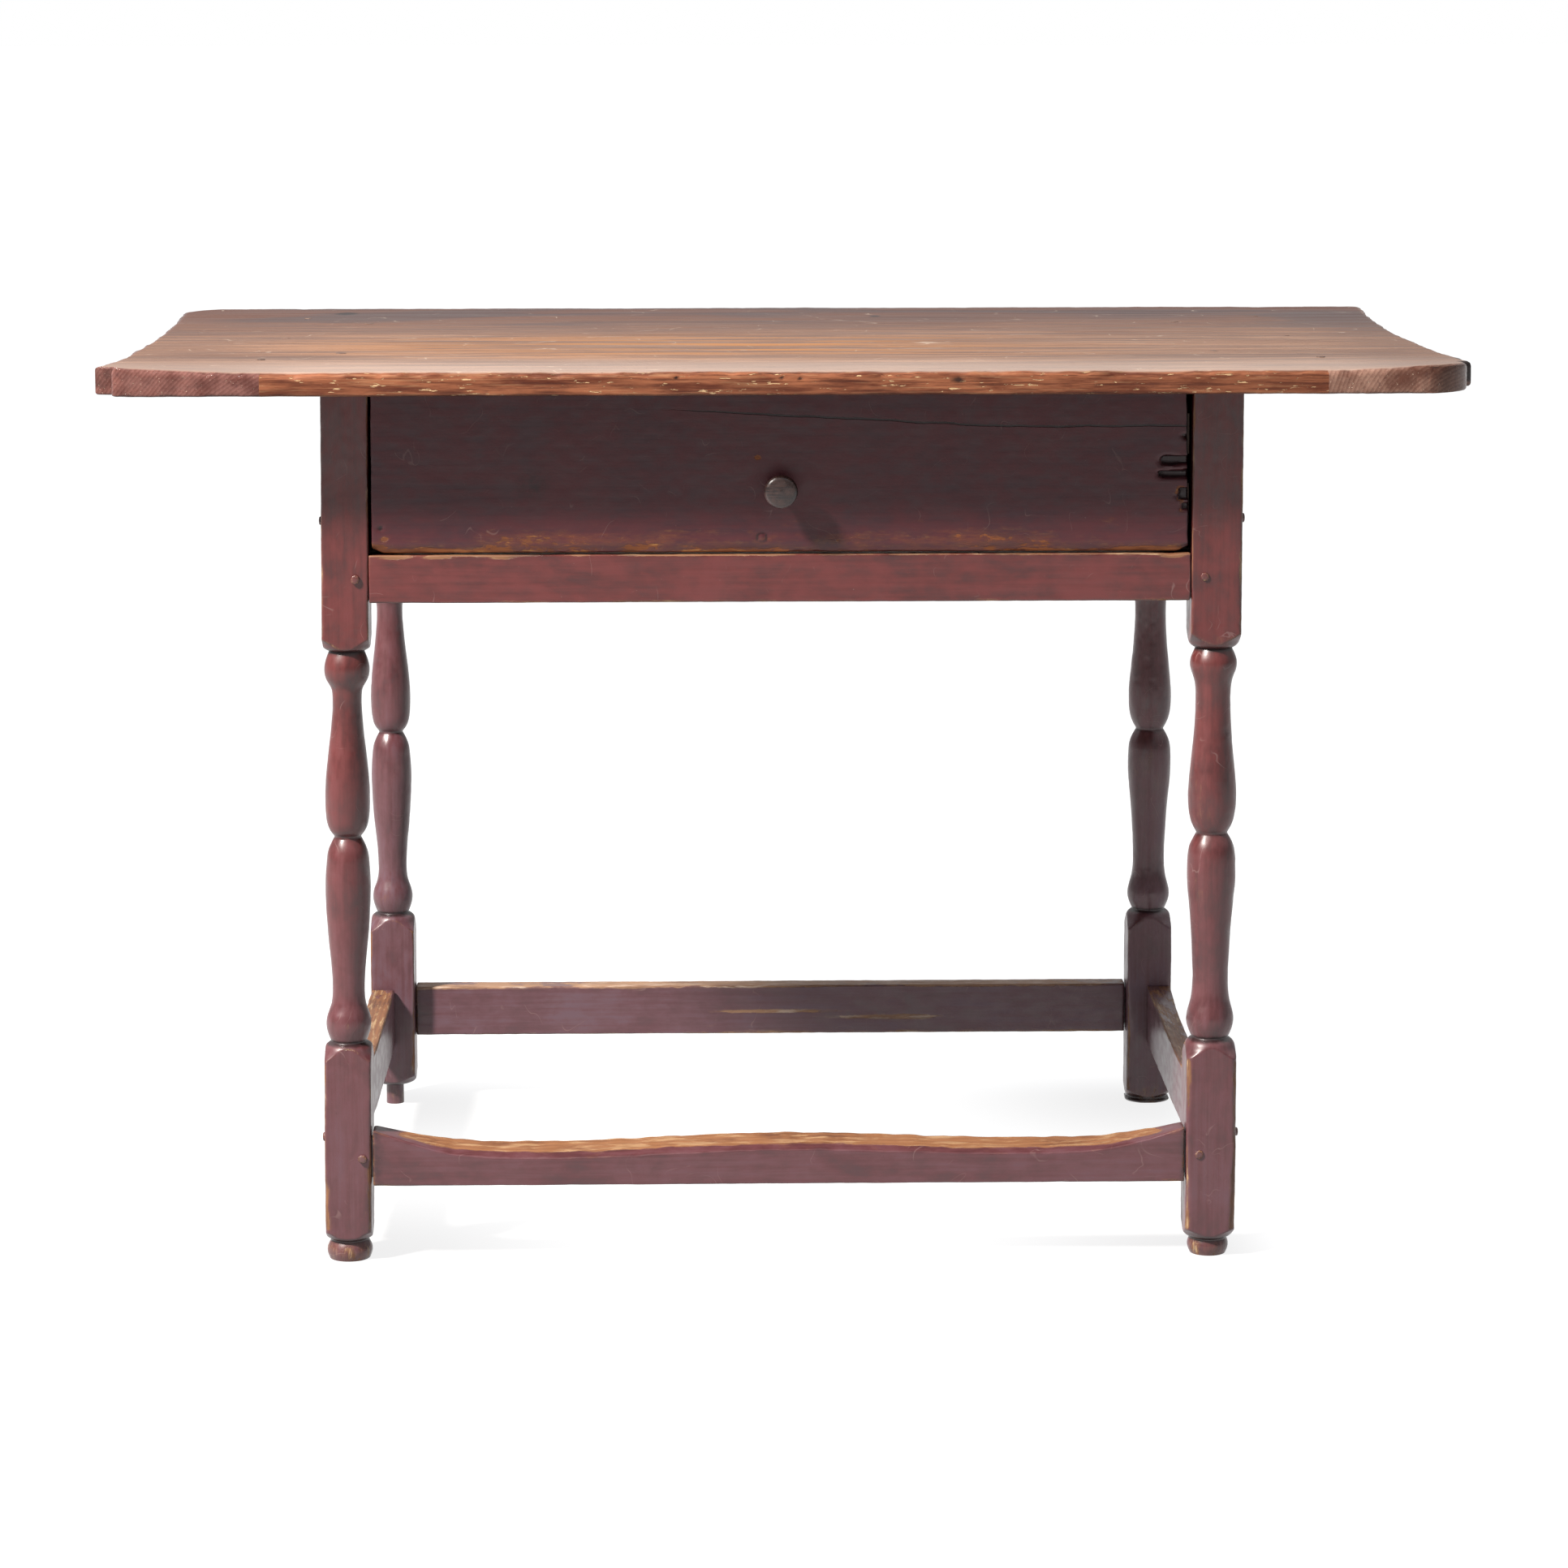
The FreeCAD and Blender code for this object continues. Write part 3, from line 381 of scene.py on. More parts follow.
for x, y, reach_x, reach_y, amount in ((300.0, 235.0, 95.0, 90.0, 0.75), (-270.0, 60.0, 70.0, 40.0, 0.35),
                                       (120.0, 190.0, 160.0, 60.0, 0.45)):
    stain = mound(along, x, reach_x) * mound(across, y, reach_y) * amount
    blots = g.most(blots, stain * soft.step(0.30, 0.60))
marks = g.group(scratch_tree, Place=place, Size=80.0, Share=0.1)["Mask"]
pits = g.noise(place, 2.4, 2, 0.6, along=0.5).step(0.71, 0.77)
colour = g.coats("#78523c", (soft.step(0.36, 0.64), "#a27a62"),
                 (lines.step(0.50, 0.62) * 0.70, "#503022"),
                 (lines.step(0.48, 0.36) * 0.42, "#c8a286"),
                 (hairs.step(0.54, 0.68) * 0.45, "#3e2620"),
                 (glow * (soft + lines * 0.4).step(0.62, 0.80), "#b27436"),
                 # a painted pale sheen along the front, standing for the backdrop's reflection
                 (across.step(-170.0, -300.0, 0.0, 0.45), "#cebaae"),
                 (ends * 0.38, "#644436"), (rear * 0.9, "#583225"), (blots, "#42383a"),
                 (marks * 0.45, "#deccb8"), (pits * 0.6, "#30201c"))
face_tree = g.give(Colour=colour, Height=lines * 0.22 + soft * 0.5 + pits * -0.3, Gloss=soft.step(0.3, 0.7))

# The top's edges: rings of the log, fine dark fibres, blots of old polish and small pale nicks.
g, place, dark, middle, nick, rings, nicks, blot, fibre = new_group(
    "board_edge", "Dark Middle Nick", Rings=0.0, Nicks=0.5, Blot=5.0, Fibre=0.6)
threads = g.noise(place, 2.0, 4, 0.72, along=0.03)
patch = g.noise(place, blot, 4, 0.62, along=0.12)
blots = g.noise(place, 9, 4, 0.66, along=0.3).step(0.60, 0.74)
chips = g.noise(place, 1.9, 3, 0.6, along=0.16) + (nicks + patch * 0.8) * 0.10
chips = chips.step(0.735, 0.77)
colour = g.coats(dark, (patch.step(0.25, 0.68), middle),
                 (rings * patch.step(0.35, 0.6, 0.62, 0.34), dark),
                 (threads.step(0.50, 0.62) * fibre, "#422018"),
                 (threads.step(0.46, 0.34) * (fibre * 0.25), nick),
                 (blots * 0.45, "#46262a"), (chips * 0.85, nick))
rim_tree = g.give(Colour=colour, Height=threads * 0.2 + chips * -0.35)


def along_grain(steps, grain):
    """Object coordinates in millimetres with the grain turned onto the first axis."""
    place = steps.vector("MULTIPLY", steps.node("TexCoord", output="Object"), (1 / MM,) * 3)
    if grain == "X":
        return place
    axes = steps.axes(place)
    order = {"Y": (1, 0, 2), "Z": (2, 0, 1)}[grain]
    return steps.node("CombineXYZ", {n: axes[axis] for n, axis in enumerate(order)})


def new_finish(name, grain="X"):
    """A material with an empty tree: the material, its steps and its place along the grain."""
    finish = bpy.data.materials.new(name)
    finish.use_nodes = True
    finish.node_tree.nodes.clear()
    steps = Steps(finish.node_tree)
    return finish, steps, along_grain(steps, grain)


def surfaced(finish, colour, roughness, height, specular=0.5, metallic=0.0):
    """Ends a material with a surface of that colour, roughness and relief (height in millimetres)."""
    steps = Steps(finish.node_tree)
    relief = steps.node("Bump", {"Strength": 1.0, "Distance": MM, "Height": height})
    surface = steps.node("BsdfPrincipled", {"Base Color": colour, "Roughness": roughness, "Normal": relief,
                                            "Specular IOR Level": specular, "Metallic": metallic})
    steps.make("OutputMaterial", {"Surface": surface})
    return finish


# the mask of painted shade and grime, from their map
def shade_and_grime_mask(steps, place):
    return steps.group(shade_and_grime_tree, Place=place, Amount=steps.painted_map("grime"))["Mask"]


def painted(name, grain, deep, middle, bloom, greying=(0.2, 0.75), freshness=0.5, specular=0.62, crack=False,
            wood=("#5c3c30", "#906242", "#c6a47c")):
    """Old satin paint over wood: worn to bare wood where the wear map is high, dark where the map of
    painted shade and grime is, and greyer towards the floor, from the first amount of the pair given for it
    to the second; its greying towards the back is a painted reflection of the backdrop."""
    finish, steps, place = new_finish(name, grain)
    _, y, z = steps.axes(along_grain(steps, "X"))
    dark, ochre, pale = wood
    loss = steps.group(loss_tree, Place=place, Rub=steps.painted_map("rub"))
    # the grey bloom grows towards the floor, and its growth towards the back is a painted reflection of the
    # backdrop
    coat = steps.group(paint_tree, Place=place, Deep=deep, Middle=middle, Bloom=bloom,
                       Dust=z.step(460.0, 60.0, *greying) + y.step(-150.0, 240.0, 0.0, 0.40))
    bare = steps.group(bare_tree, Place=place, Dark=dark, Ochre=ochre, Pale=pale, Freshness=freshness)
    rings = steps.group(grain_tree, Place=place, Heart=(0.0, 40.0, 30.0), Spacing=3.4, Wander=10.0)["Rings"]
    thin = steps.blend(0.6, coat["Colour"], bare["Colour"])
    colour = steps.coats(coat["Colour"], (loss["Thin"] * 0.45, thin),
                         (loss["Bare"], steps.blend(rings * 0.3, bare["Colour"], dark)),
                         (shade_and_grime_mask(steps, place) * 0.85, "#1e1516"))
    height = loss["Height"] + coat["Height"] * 0.22 + bare["Height"] * loss["Bare"].step(0, 1, 0.02, 0.30)
    if crack:
        colour, height = crack_line(steps, place, colour, height)
    roughness = loss["Bare"].step(0, 1, 0.29, 0.50) + coat["Gloss"] * 0.12
    return surfaced(finish, colour, roughness, height, specular)


def crack_line(steps, place, colour, height):
    """A drying crack across the drawer front: dark and sunk where the height above the floor is
    close to a bent line along the board, with a little noise."""
    along, _, up = steps.axes(place)
    path = steps.node("MapRange", {0: along, 1: -80.0, 2: 162.0, 3: 646.7, 4: 634.2})
    wobble = (steps.noise(place, 24, 3) - 0.5) * 3.0
    off = abs(steps.math("SUBTRACT", up, path + wobble))
    width = along.step(-90.0, -20.0) * 0.55
    mask = steps.math("SUBTRACT", off, width).step(0.0, 0.35, 1.0, 0.0) * along.step(-95.0, -60.0)
    return steps.blend(mask * 0.85, colour, "#120b0a"), height + mask * -0.6


def top_finish(name, grain, heart, spacing, wander, dark, middle, nick, nicks=0.5, blot=5.0, polish=0.08,
               fibre=0.6):
    """A board of the top: the scrubbed face above, and where the side map is high an edge with rings."""
    finish, steps, place = new_finish(name, grain)
    side = steps.painted_map("side")
    rings = steps.group(grain_tree, Place=place, Heart=heart, Spacing=spacing, Wander=wander)["Rings"]
    face = steps.group(face_tree, Place=along_grain(steps, "X"))
    rim = steps.group(rim_tree, Place=place, Rings=rings, Dark=dark, Middle=middle, Nick=nick, Nicks=nicks,
                      Blot=blot, Fibre=fibre)
    colour = steps.coats(face["Colour"], (side, rim["Colour"]),
                         (shade_and_grime_mask(steps, place) * 0.9, "#221818"))
    height = steps.node("Mix", {0: side, 2: face["Height"], 3: rim["Height"]}, data_type="FLOAT")
    return surfaced(finish, colour, face["Gloss"].step(0, 1, 0.36, 0.50) + side * -polish, height, 0.22)


def bare_board(name, grain, dark, middle, bright, grey, heart, spacing, wander, ringing=0.3):
    """Unpainted old pine: ring pattern and fibres, soft ochre streaks, small dents and wear, and painted
    shade just behind the drawer's front."""
    finish, steps, place = new_finish(name, grain)
    wood = steps.group(grain_tree, Place=place, Heart=heart, Spacing=spacing, Wander=wander)
    soft = steps.noise(place, 22, 4, 0.55, 0.4, along=0.12)
    broad = steps.noise(place, 95, 3, 0.55, 0.6, along=0.25)
    worn = (steps.painted_map("rub") + (steps.noise(place, 7, 4, 0.65) - 0.5) * 0.9).step(0.40, 0.75)
    # painted shade on the parts close behind the drawer's front
    shade_behind_front = steps.axes(along_grain(steps, "X"))[1].step(-190.0, -236.0) * 0.85
    colour = steps.coats(middle, (soft.step(0.36, 0.64), grey),
                         ((broad * 0.55 + soft * 0.45).step(0.50, 0.62) * 0.8, bright),
                         (broad.step(0.50, 0.34) * 0.6, dark), (wood["Rings"] * ringing, dark),
                         (wood["Fibres"].step(0.54, 0.74) * 0.32, dark), (worn * 0.5, bright),
                         (steps.most(shade_behind_front, shade_and_grime_mask(steps, place) * 0.8), "#261b19"))
    dents = steps.noise(place, 11, 3, 0.6).step(0.62, 0.74)
    height = wood["Rings"] * -0.06 + wood["Fibres"] * 0.22 + wood["Streaks"] * 0.30 + dents * -0.30
    return surfaced(finish, colour, soft.step(0.3, 0.7, 0.40, 0.56), height, 0.3)


def plain_iron():
    """Dull forged iron: nearly black, with rust in patches."""
    finish, steps, place = new_finish("forged_iron")
    rust = steps.noise(place, 2.0, 4, 0.65).step(0.46, 0.62)
    colour = steps.blend(rust, "#302a28", "#623e2c")
    return surfaced(finish, colour, rust.step(0, 1, 0.45, 0.8), rust * 0.15, metallic=0.6)


def knob_finish():
    """The knob: dark plum, with fine level grain lines, and a painted pale reflection on its lower lip."""
    finish, steps, place = new_finish("handled_knob", "Y")
    patches = steps.noise(place, 7, 4, 0.6)
    lines = steps.noise(steps.vector("MULTIPLY", along_grain(steps, "X"), (0.25, 1.0, 2.2)), 3.4, 3, 0.65)
    colour = steps.coats("#2a1b19", (patches.step(0.38, 0.62), "#402e2a"),
                         (lines.step(0.5, 0.60) * 0.7, "#181113"),
                         # a painted pale reflection of the floor on the lower lip
                         (steps.painted_map("rub") * 0.6, "#847070"))
    return surfaced(finish, colour, patches.step(0.4, 0.6, 0.22, 0.32), lines * 0.15, 0.55)


RED = ("#441815", "#6e261e", "#70545e")
DRAWER_RED = ("#442229", "#5e2a2c", "#523644")
PEG_RED = ("#522826", "#6e3834", "#76585a")
STEPPED_ON = ("#6c422a", "#9a6844", "#b68e68")
SCUFFED = ("#84604c", "#ba9070", "#e2c8b2")
DRAWER_WOOD = ("#683c28", "#985a32", "#bc8650")
PALE_TONES = ("#785c44", "#a88664", "#c09870", "#968270")
PIN_TONES = ("#543c32", "#7a5c4c", "#967054", "#74625a")
red_upright = painted("red_paint_upright", "Z", *RED)
red_long = painted("red_paint_long", "X", *RED)
red_back = painted("red_paint_back", "X", *RED, wood=SCUFFED)
red_cross = painted("red_paint_cross", "Y", *RED)
red_worn = painted("red_paint_foot_worn", "X", *RED, freshness=0.6, wood=STEPPED_ON)
red_drawer = painted("red_paint_drawer", "X", *DRAWER_RED, greying=(0.2, 0.2), freshness=0.4, crack=True,
                     specular=0.4, wood=DRAWER_WOOD)
red_peg = painted("red_paint_peg", "Y", *PEG_RED)
top_pine = top_finish("scrubbed_pine", "X", (0.0, 60.0, 560.0), 4.5, 22.0,
                      "#5a2c1e", "#a46648", "#e0bc8e")
left_pine = top_finish("left_end_pine", "Y", (0.0, -330.0, 560.0), 2.6, 12.0,
                       "#562e28", "#94665e", "#ccaa96", 0.3, 30.0, 0.30, 0.16)
right_pine = top_finish("right_end_pine", "Y", (0.0, 500.0, 625.0), 2.8, 16.0,
                        "#664034", "#b68e7c", "#d2b29c", 0.4, 30.0, 0.16, 0.2)
bare_long = bare_board("bare_pine_long", "X", *PALE_TONES, (0.0, 300.0, 500.0), 4.5, 30.0)
bare_cross = bare_board("bare_pine_cross", "Y", *PALE_TONES, (0.0, 100.0, 500.0), 4.5, 30.0)
pin_wood = bare_board("pin_end_grain", "Z", *PIN_TONES, ORIGIN, 1.6, 3.0, ringing=0.4)
iron = plain_iron()
knob_wood = knob_finish()


# ---- legs -----------------------------------------------------------------------------------------
# radius at a block's corners, its rounded shoulder as (radius, share of the way from neck to block), and
# the heights between which the legs are turned
BLOCK = 28.4
SHOULDER = ((17.6, 0.16), (20.0, 0.38), (23.8, 0.64))
LOW_BLOCK, HIGH_BLOCK = 148.0, 481.0
# heights of the necks below and above the turning, and of the groove between its two balusters
LOW_NECK, GROOVE, HIGH_NECK = 167.7, 324.65, 465.5
# (radius, height) of each side's turning, from the lower neck to the groove and on up to the upper neck
TURNINGS = {
    "left": ([(13.3, LOW_NECK), (16.9, 179.5), (16.2, 187), (13.2, 196), (12.2, 203), (12.2, 214),
              (13.5, 232), (15.3, 250), (16.5, 268), (17.0, 290), (16.2, 304), (15.0, 313), (9.8, GROOVE)],
             [(9.8, GROOVE), (13.2, 329), (15.2, 334), (16.6, 346), (16.8, 356), (15.6, 376), (12.9, 400),
              (11.3, 418), (11.0, 432), (11.8, 437), (14.9, 442.5), (17.0, 452), (13.3, HIGH_NECK)]),
    "right": ([(13.8, LOW_NECK), (17.9, 180), (17.4, 186), (14.9, 195.5), (13.8, 203), (13.8, 228),
               (15.0, 250), (16.5, 268), (18.2, 288), (18.2, 302), (16.8, 314), (11.5, GROOVE)],
              [(11.5, GROOVE), (14.5, 330), (16.2, 334.5), (18.0, 346), (18.1, 357), (16.5, 376),
               (14.3, 400), (13.4, 414), (13.2, 430), (13.6, 437), (14.8, 442.5), (17.7, 452.5),
               (13.8, HIGH_NECK)]),
}
# each leg: half its width, how far its axis is moved along X at the floor and under the top, its foot as
# (radius, height) up to the neck, and its arrises that are worn beyond the rest, as the corner counted
# from +X+Y, lowest and highest point, and amount
LEGS = {
    "front_left": (17.6, (-2.6, 2.2), [(15.4, 0), (17.2, 6.5), (13.8, 15)],
                   [(3, 20, 75, 0.5), (2, 20, 60, 0.45), (2, 480, 560, 0.2), (3, 570, 660, 0.15)]),
    "front_right": (19.0, (0.0, 0.0), [(13.6, 0), (15.6, 7), (13.8, 12.5)],
                    [(2, 116, 160, 0.9), (3, 20, 160, 0.75), (2, 20, 60, 0.5), (3, 480, 600, 0.3)]),
    "back_left": (18.6, (0.0, 0.0), [(7.5, 0), (7.5, 18)], [(3, 20, 80, 0.5), (2, 20, 60, 0.4)]),
    "back_right": (18.8, (0.0, 0.0), [(19.5, 0), (21.0, 1.5)], [(3, 0, 70, 0.6), (2, 0, 70, 0.6)]),
}
# lowest and highest point of each zone of a leg's rings, and the distance between them there
ZONES = ((0, 36, 0.8), (36, 144, 2.2), (144, 172, 0.5), (172, 462, 1.1), (462, 486, 0.5), (486, 663, 2.6))
QUARTER = np.pi / 2


def smooth_run(corners, count=60):
    """A natural cubic through the corners (radius, height), spaced by chord length, as count points."""
    corners = np.array(corners, float)
    if len(corners) < 3:
        return corners
    knots = np.concatenate([[0], np.cumsum(np.linalg.norm(np.diff(corners, axis=0), axis=1))])
    width = np.diff(knots)
    system = np.eye(len(knots))
    goal = np.zeros_like(corners)
    for row in range(1, len(knots) - 1):
        system[row, row - 1:row + 2] = width[row - 1], 2 * (width[row - 1] + width[row]), width[row]
    slopes = np.diff(corners, axis=0) / width[:, None]
    goal[1:-1] = 6 * np.diff(slopes, axis=0)
    bend = np.linalg.solve(system, goal)
    at = np.linspace(0, knots[-1], count)
    piece = np.clip(np.searchsorted(knots, at, side="right") - 1, 0, len(width) - 1)
    before, after, w = (at - knots[piece])[:, None], (knots[piece + 1] - at)[:, None], width[piece][:, None]
    return ((bend[piece] * after ** 3 + bend[piece + 1] * before ** 3) / (6 * w)
            + (corners[piece] / w - bend[piece] * w / 6) * after
            + (corners[piece + 1] / w - bend[piece + 1] * w / 6) * before)


def shoulder(radius, neck, block):
    """Rounded end of a block, from its neck out to the block's corners."""
    return [(radius, neck), *[(reach, neck + (block - neck) * share) for reach, share in SHOULDER],
            (BLOCK, block)]


def turning(side, foot):
    """Radius against height of a leg, with its foot, blocks, shoulders and the turning between them."""
    foot_block = foot[-1][1] + 13
    lower, upper = TURNINGS[side]
    runs = [foot, shoulder(*foot[-1], foot_block), [(BLOCK, foot_block), (BLOCK, LOW_BLOCK)],
            shoulder(*lower[0], LOW_BLOCK)[::-1], lower, upper, shoulder(*upper[-1], HIGH_BLOCK),
            [(BLOCK, HIGH_BLOCK), (BLOCK, UNDER)]]
    line = np.concatenate([smooth_run(run) for run in runs])
    return line[:, 0], np.maximum.accumulate(line[:, 1] + np.arange(len(line)) * 1e-6)


def lean_of(name, z):
    """How far a leg's axis is moved along X at each height."""
    bottom, top = LEGS[name][1]
    return bottom + (top - bottom) * z / UNDER


def lean(points):
    """Sideways shift of what the front left leg carries, at each point: its lean at that height, fading
    along Y to none at the back leg and along X to none at the middle of the top."""
    share = np.clip((LEG_Y - points[..., 1]) / (2 * LEG_Y), 0, 1)
    share = share * np.clip(-points[..., 0] / (LEG_REACH - MIDDLE_X), 0, 1)
    return lean_of("front_left", points[..., 2]) * share


def leg(name, seed):
    """A square stick turned between its blocks: at each angle and height the radius is the smaller of
    the turning and of a square with rounded corners, joined by a narrow smooth minimum."""
    low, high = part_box(name + "_leg")
    middle = (np.array(low) + high) / 2 / MM
    half, _, foot, worn_arrises = LEGS[name]
    radii, heights = turning(name.split("_")[1], foot)
    half_turn = QUARTER / 2 * (1 - (1 - np.linspace(0, 1, 17)) ** 1.6)
    off = np.concatenate([-half_turn[:0:-1], half_turn[:-1]])
    angle = (np.arange(4)[:, None] * QUARTER + off).ravel()
    rows = np.unique(np.concatenate([np.linspace(a, b, int((b - a) / s) + 1) for a, b, s in ZONES]))
    turn, z = np.meshgrid(angle, rows)
    corner = np.floor(turn / QUARTER).astype(int) % 4
    off = np.broadcast_to(np.abs(np.tile(off, 4)), turn.shape)

    def ring(radius):
        return np.stack([middle[0] + radius * np.cos(turn), middle[1] + radius * np.sin(turn), z], axis=-1)

    on_side = ring(half)
    at_corner = np.stack([corner * 40.0, corner * 11.0 + seed * 5, z], axis=-1)
    turned = np.interp(z, heights, radii)
    chips = np.zeros(z.shape)
    for number, bottom, top, amount in worn_arrises:
        near = ramp(z, bottom - 8, bottom + 4) * ramp(z, top + 8, top - 4)
        chips += np.where(corner == number, near * amount, 0)
    low_block = ramp(z, 95, 25)
    easing = 2.1 + 0.9 * lumps(at_corner, 22, seed) + 0.6 * lumps(at_corner, 6, seed + 5) + 3.0 * chips
    easing = np.clip(easing + 2.5 * low_block * (0.6 + 0.4 * lumps(at_corner, 12, seed + 9)), 0.8, 8)
    reach = np.sqrt(2) * (half - easing)
    slant = QUARTER / 2 - off
    arc = reach * np.cos(slant) + np.sqrt(np.maximum(easing ** 2 - (reach * np.sin(slant)) ** 2, 0))
    square = np.where(np.tan(off) <= (half - easing) / half, half / np.cos(off), arc)
    square -= 0.25 * np.clip(lumps(on_side, 40, seed + 2) + 0.2, 0, 1)
    square -= 0.12 * np.abs(lumps(on_side, 7, seed + 3))
    turned = turned - 0.22 * np.clip(lumps(on_side, 9, seed + 4), 0, 1)
    share = np.clip(0.5 + 0.5 * (square - turned) / 0.7, 0, 1)
    grid = ring(square * (1 - share) + turned * share - 0.7 * share * (1 - share))
    grid[..., 0] += lean_of(name, z)

    block = ramp(turned, 22, 27)
    from_corner = half * (1 - np.tan(off))
    width = 2.0 + 1.3 * lumps(at_corner, 16, seed + 6) + 3.5 * chips + 3.0 * low_block
    worn = 0.58 + 0.25 * lumps(at_corner, 30, seed + 7) + 0.25 * chips + 0.05 * low_block
    arris = block * np.clip(1 - from_corner / np.maximum(width, 0.6), 0, 1) * worn
    proud = ramp(turned, 14.5, 17.6) * (1 - block) * (0.12 + 0.14 * lumps(on_side, 25, seed + 8))
    # the lip where a shoulder meets the turning is rubbed pale: wear, and with it a painted highlight along
    # that edge
    lip = spot((turned, square, 0.8)) * ramp(z, 30, 60) * (0.34 + 0.22 * lumps(on_side, 14, seed + 10))
    # painted shade under the top, in the necks, the groove and the coves and at the foot's neck; the foot
    # is also darker at its very bottom
    shade_and_dirt = 0.5 * ramp(z, UNDER - 8, UNDER) + 0.22 * ramp(z, 30, 12)
    for height, reach, amount in ((LOW_NECK, 2.6, 0.9), (HIGH_NECK, 2.6, 0.85), (GROOVE, 3.0, 0.55),
                                  (196, 7, 0.25), (440, 7, 0.25), (foot[-1][1] + 1, 2.2, 0.8)):
        shade_and_dirt += amount * spot((z, height, reach))
    rub = largest(arris, proud, lip, ramp(z, 24, 8) * 0.42)
    return lathe_skin(grid, rub=rub, grime=np.clip(shade_and_dirt, 0, 1))


for number, name in enumerate(LEGS):
    node = name + "_leg"
    make_piece(node + "_turned", leg(name, 20 + number * 31), "frame", "red_paint", red_upright, node)


# ---- boards and bars ------------------------------------------------------------------------------
NO_TRIANGLES = np.zeros((0, 3), int)
TENON, TENON_THICKNESS, TENON_STEP = 19.0, 8.0, 6.0


def board(low, high, steps, arris, seed, rub_width=5.0, rub_amount=0.6, shape=None, on=(0, 0)):
    """A board: a box with arrises rounded by a radius that wanders (arris gives it, as a number or as a
    function of the points), faces slightly uneven, and then bent or hollowed by shape.  The rub map
    falls off with distance from the nearest arris.  Its ends along X are rounded as if it ran on by the
    two lengths of on, so that a joint there shows no groove."""
    low, high = np.array(low, float), np.array(high, float)
    points, quads = box_skin(low, high, steps)
    gaps = np.minimum(points - low, high - points)
    from_arris = np.sort(gaps, axis=1)[:, 1]
    around = arris(points) if callable(arris) else arris
    from_joint = np.minimum(np.where([on[0] > 0], points[:, 0] - low[0], np.inf),
                            np.where([on[1] > 0], high[0] - points[:, 0], np.inf))
    free = ramp(from_joint, 0.0, 14.0)
    uneven = 0.45 * lumps(points, 30, seed) + 0.3 * lumps(points, 8, seed + 1)
    radius = np.clip(around * (1 + free * uneven), 0.3, 20)
    worn = ease(points, low - (on[0], 0, 0), high + (on[1], 0, 0), radius)
    inward = np.sign((low + high) / 2 - points) * (gaps <= 1e-6)
    inward[:, 0] *= 1 - np.sign(max(on))
    hollow = 0.25 * np.clip(0.5 + 0.5 * lumps(points, 45, seed + 2), 0, 1)
    worn = worn + inward * (free * (hollow + 0.12 * np.abs(lumps(points, 9, seed + 3))))[:, None]
    width = np.maximum(rub_width * (0.75 + 0.6 * lumps(points, 26, seed + 4)), 0.7)
    rub = np.clip(1 - from_arris / width, 0, 1) * (rub_amount + 0.25 * lumps(points, 34, seed + 5))
    maps = {"rub": rub, "grime": np.zeros(len(points)), "side": np.zeros(len(points))}
    if shape:
        worn = shape(points, worn, maps)
    return worn, quads, NO_TRIANGLES, maps


def hidden_tenons(low, high, along):
    """Two tenons that carry a bar on into the legs, so that its shoulders may stand open."""
    skins = []
    across = 1 - along
    for edge, way in ((low[along], -1), (high[along], 1)):
        a, b = low.copy(), high.copy()
        a[across] += 5 if low[across] < 0 else 7
        b[across] = a[across] + TENON_THICKNESS
        a[2] += TENON_STEP
        b[2] -= TENON_STEP
        a[along], b[along] = sorted((edge - 4 * way, edge + TENON * way))
        points, quads = box_skin(a, b, (12, 12, 12))
        # the tenons are dark all over: painted shade for what shows of them in the open joints
        dark = np.ones(len(points))
        skins.append((points, quads, NO_TRIANGLES, {"rub": dark * 0, "grime": dark, "side": dark * 0}))
    return skins


def hollow_line(along, ends, near, middle, far, inset=88.0):
    """Depth of foot wear along a bar: it sinks by quarter sines to near and far, inset from the ends,
    and passes through middle between them on a smooth curve."""
    run = [(ends[0] + inset * s / 3, near * np.sin(np.pi / 6 * s)) for s in range(4)]
    run += [((ends[0] + ends[1]) / 2, middle)]
    run += [(ends[1] - inset * s / 3, far * np.sin(np.pi / 6 * s)) for s in (3, 2, 1, 0)]
    curve = smooth_run(run, 160)
    return np.interp(along, curve[:, 0], curve[:, 1])


def hollowed(along, ends, share, first, second):
    """Depth of foot wear across a bar's top, from one edge (share 0) to the other (share 1)."""
    return hollow_line(along, ends, *first) * (1 - share) + hollow_line(along, ends, *second) * share


def sunk(worn, drop, low, high):
    """Points of a bar whose top sinks from high by drop, and what is below it in proportion."""
    moved = worn.copy()
    moved[:, 2] = low + (worn[:, 2] - low) * (high - low - drop) / (high - low)
    return moved


def front_stretcher_shape(points, worn, maps):
    """Sinks the top by foot wear, deeper along its front edge; the wear is rubbed to ochre wood
    towards the back, and leaves a band of thin paint along the front."""
    x, back = points[:, 0], np.clip((worn[:, 1] + 260) / 20, 0, 1)
    drop = hollowed(x, (-312.0, 300.0), back, (20.7, 15.8, 18.9), (12.0, 6.8, 11.2))
    drop = drop + 0.5 * lumps(points, 14, 71) * ramp(drop, 1, 6)
    foot = ramp(drop, 2.5, 7)
    bared = 0.12 + ramp(back + 0.06 * lumps(points, 20, 72), 0.24, 0.48)
    maps["rub"] = largest(maps["rub"] * (1 - 0.7 * foot), ramp(points[:, 2], 96, 101.2) * foot * bared)
    # darker at both ends: painted shade where the bar meets the legs
    maps["grime"] = 0.5 * ramp(x, -300, -312) + 0.5 * ramp(x, 290, 300)
    return sunk(worn, drop, 59.0, 101.5)


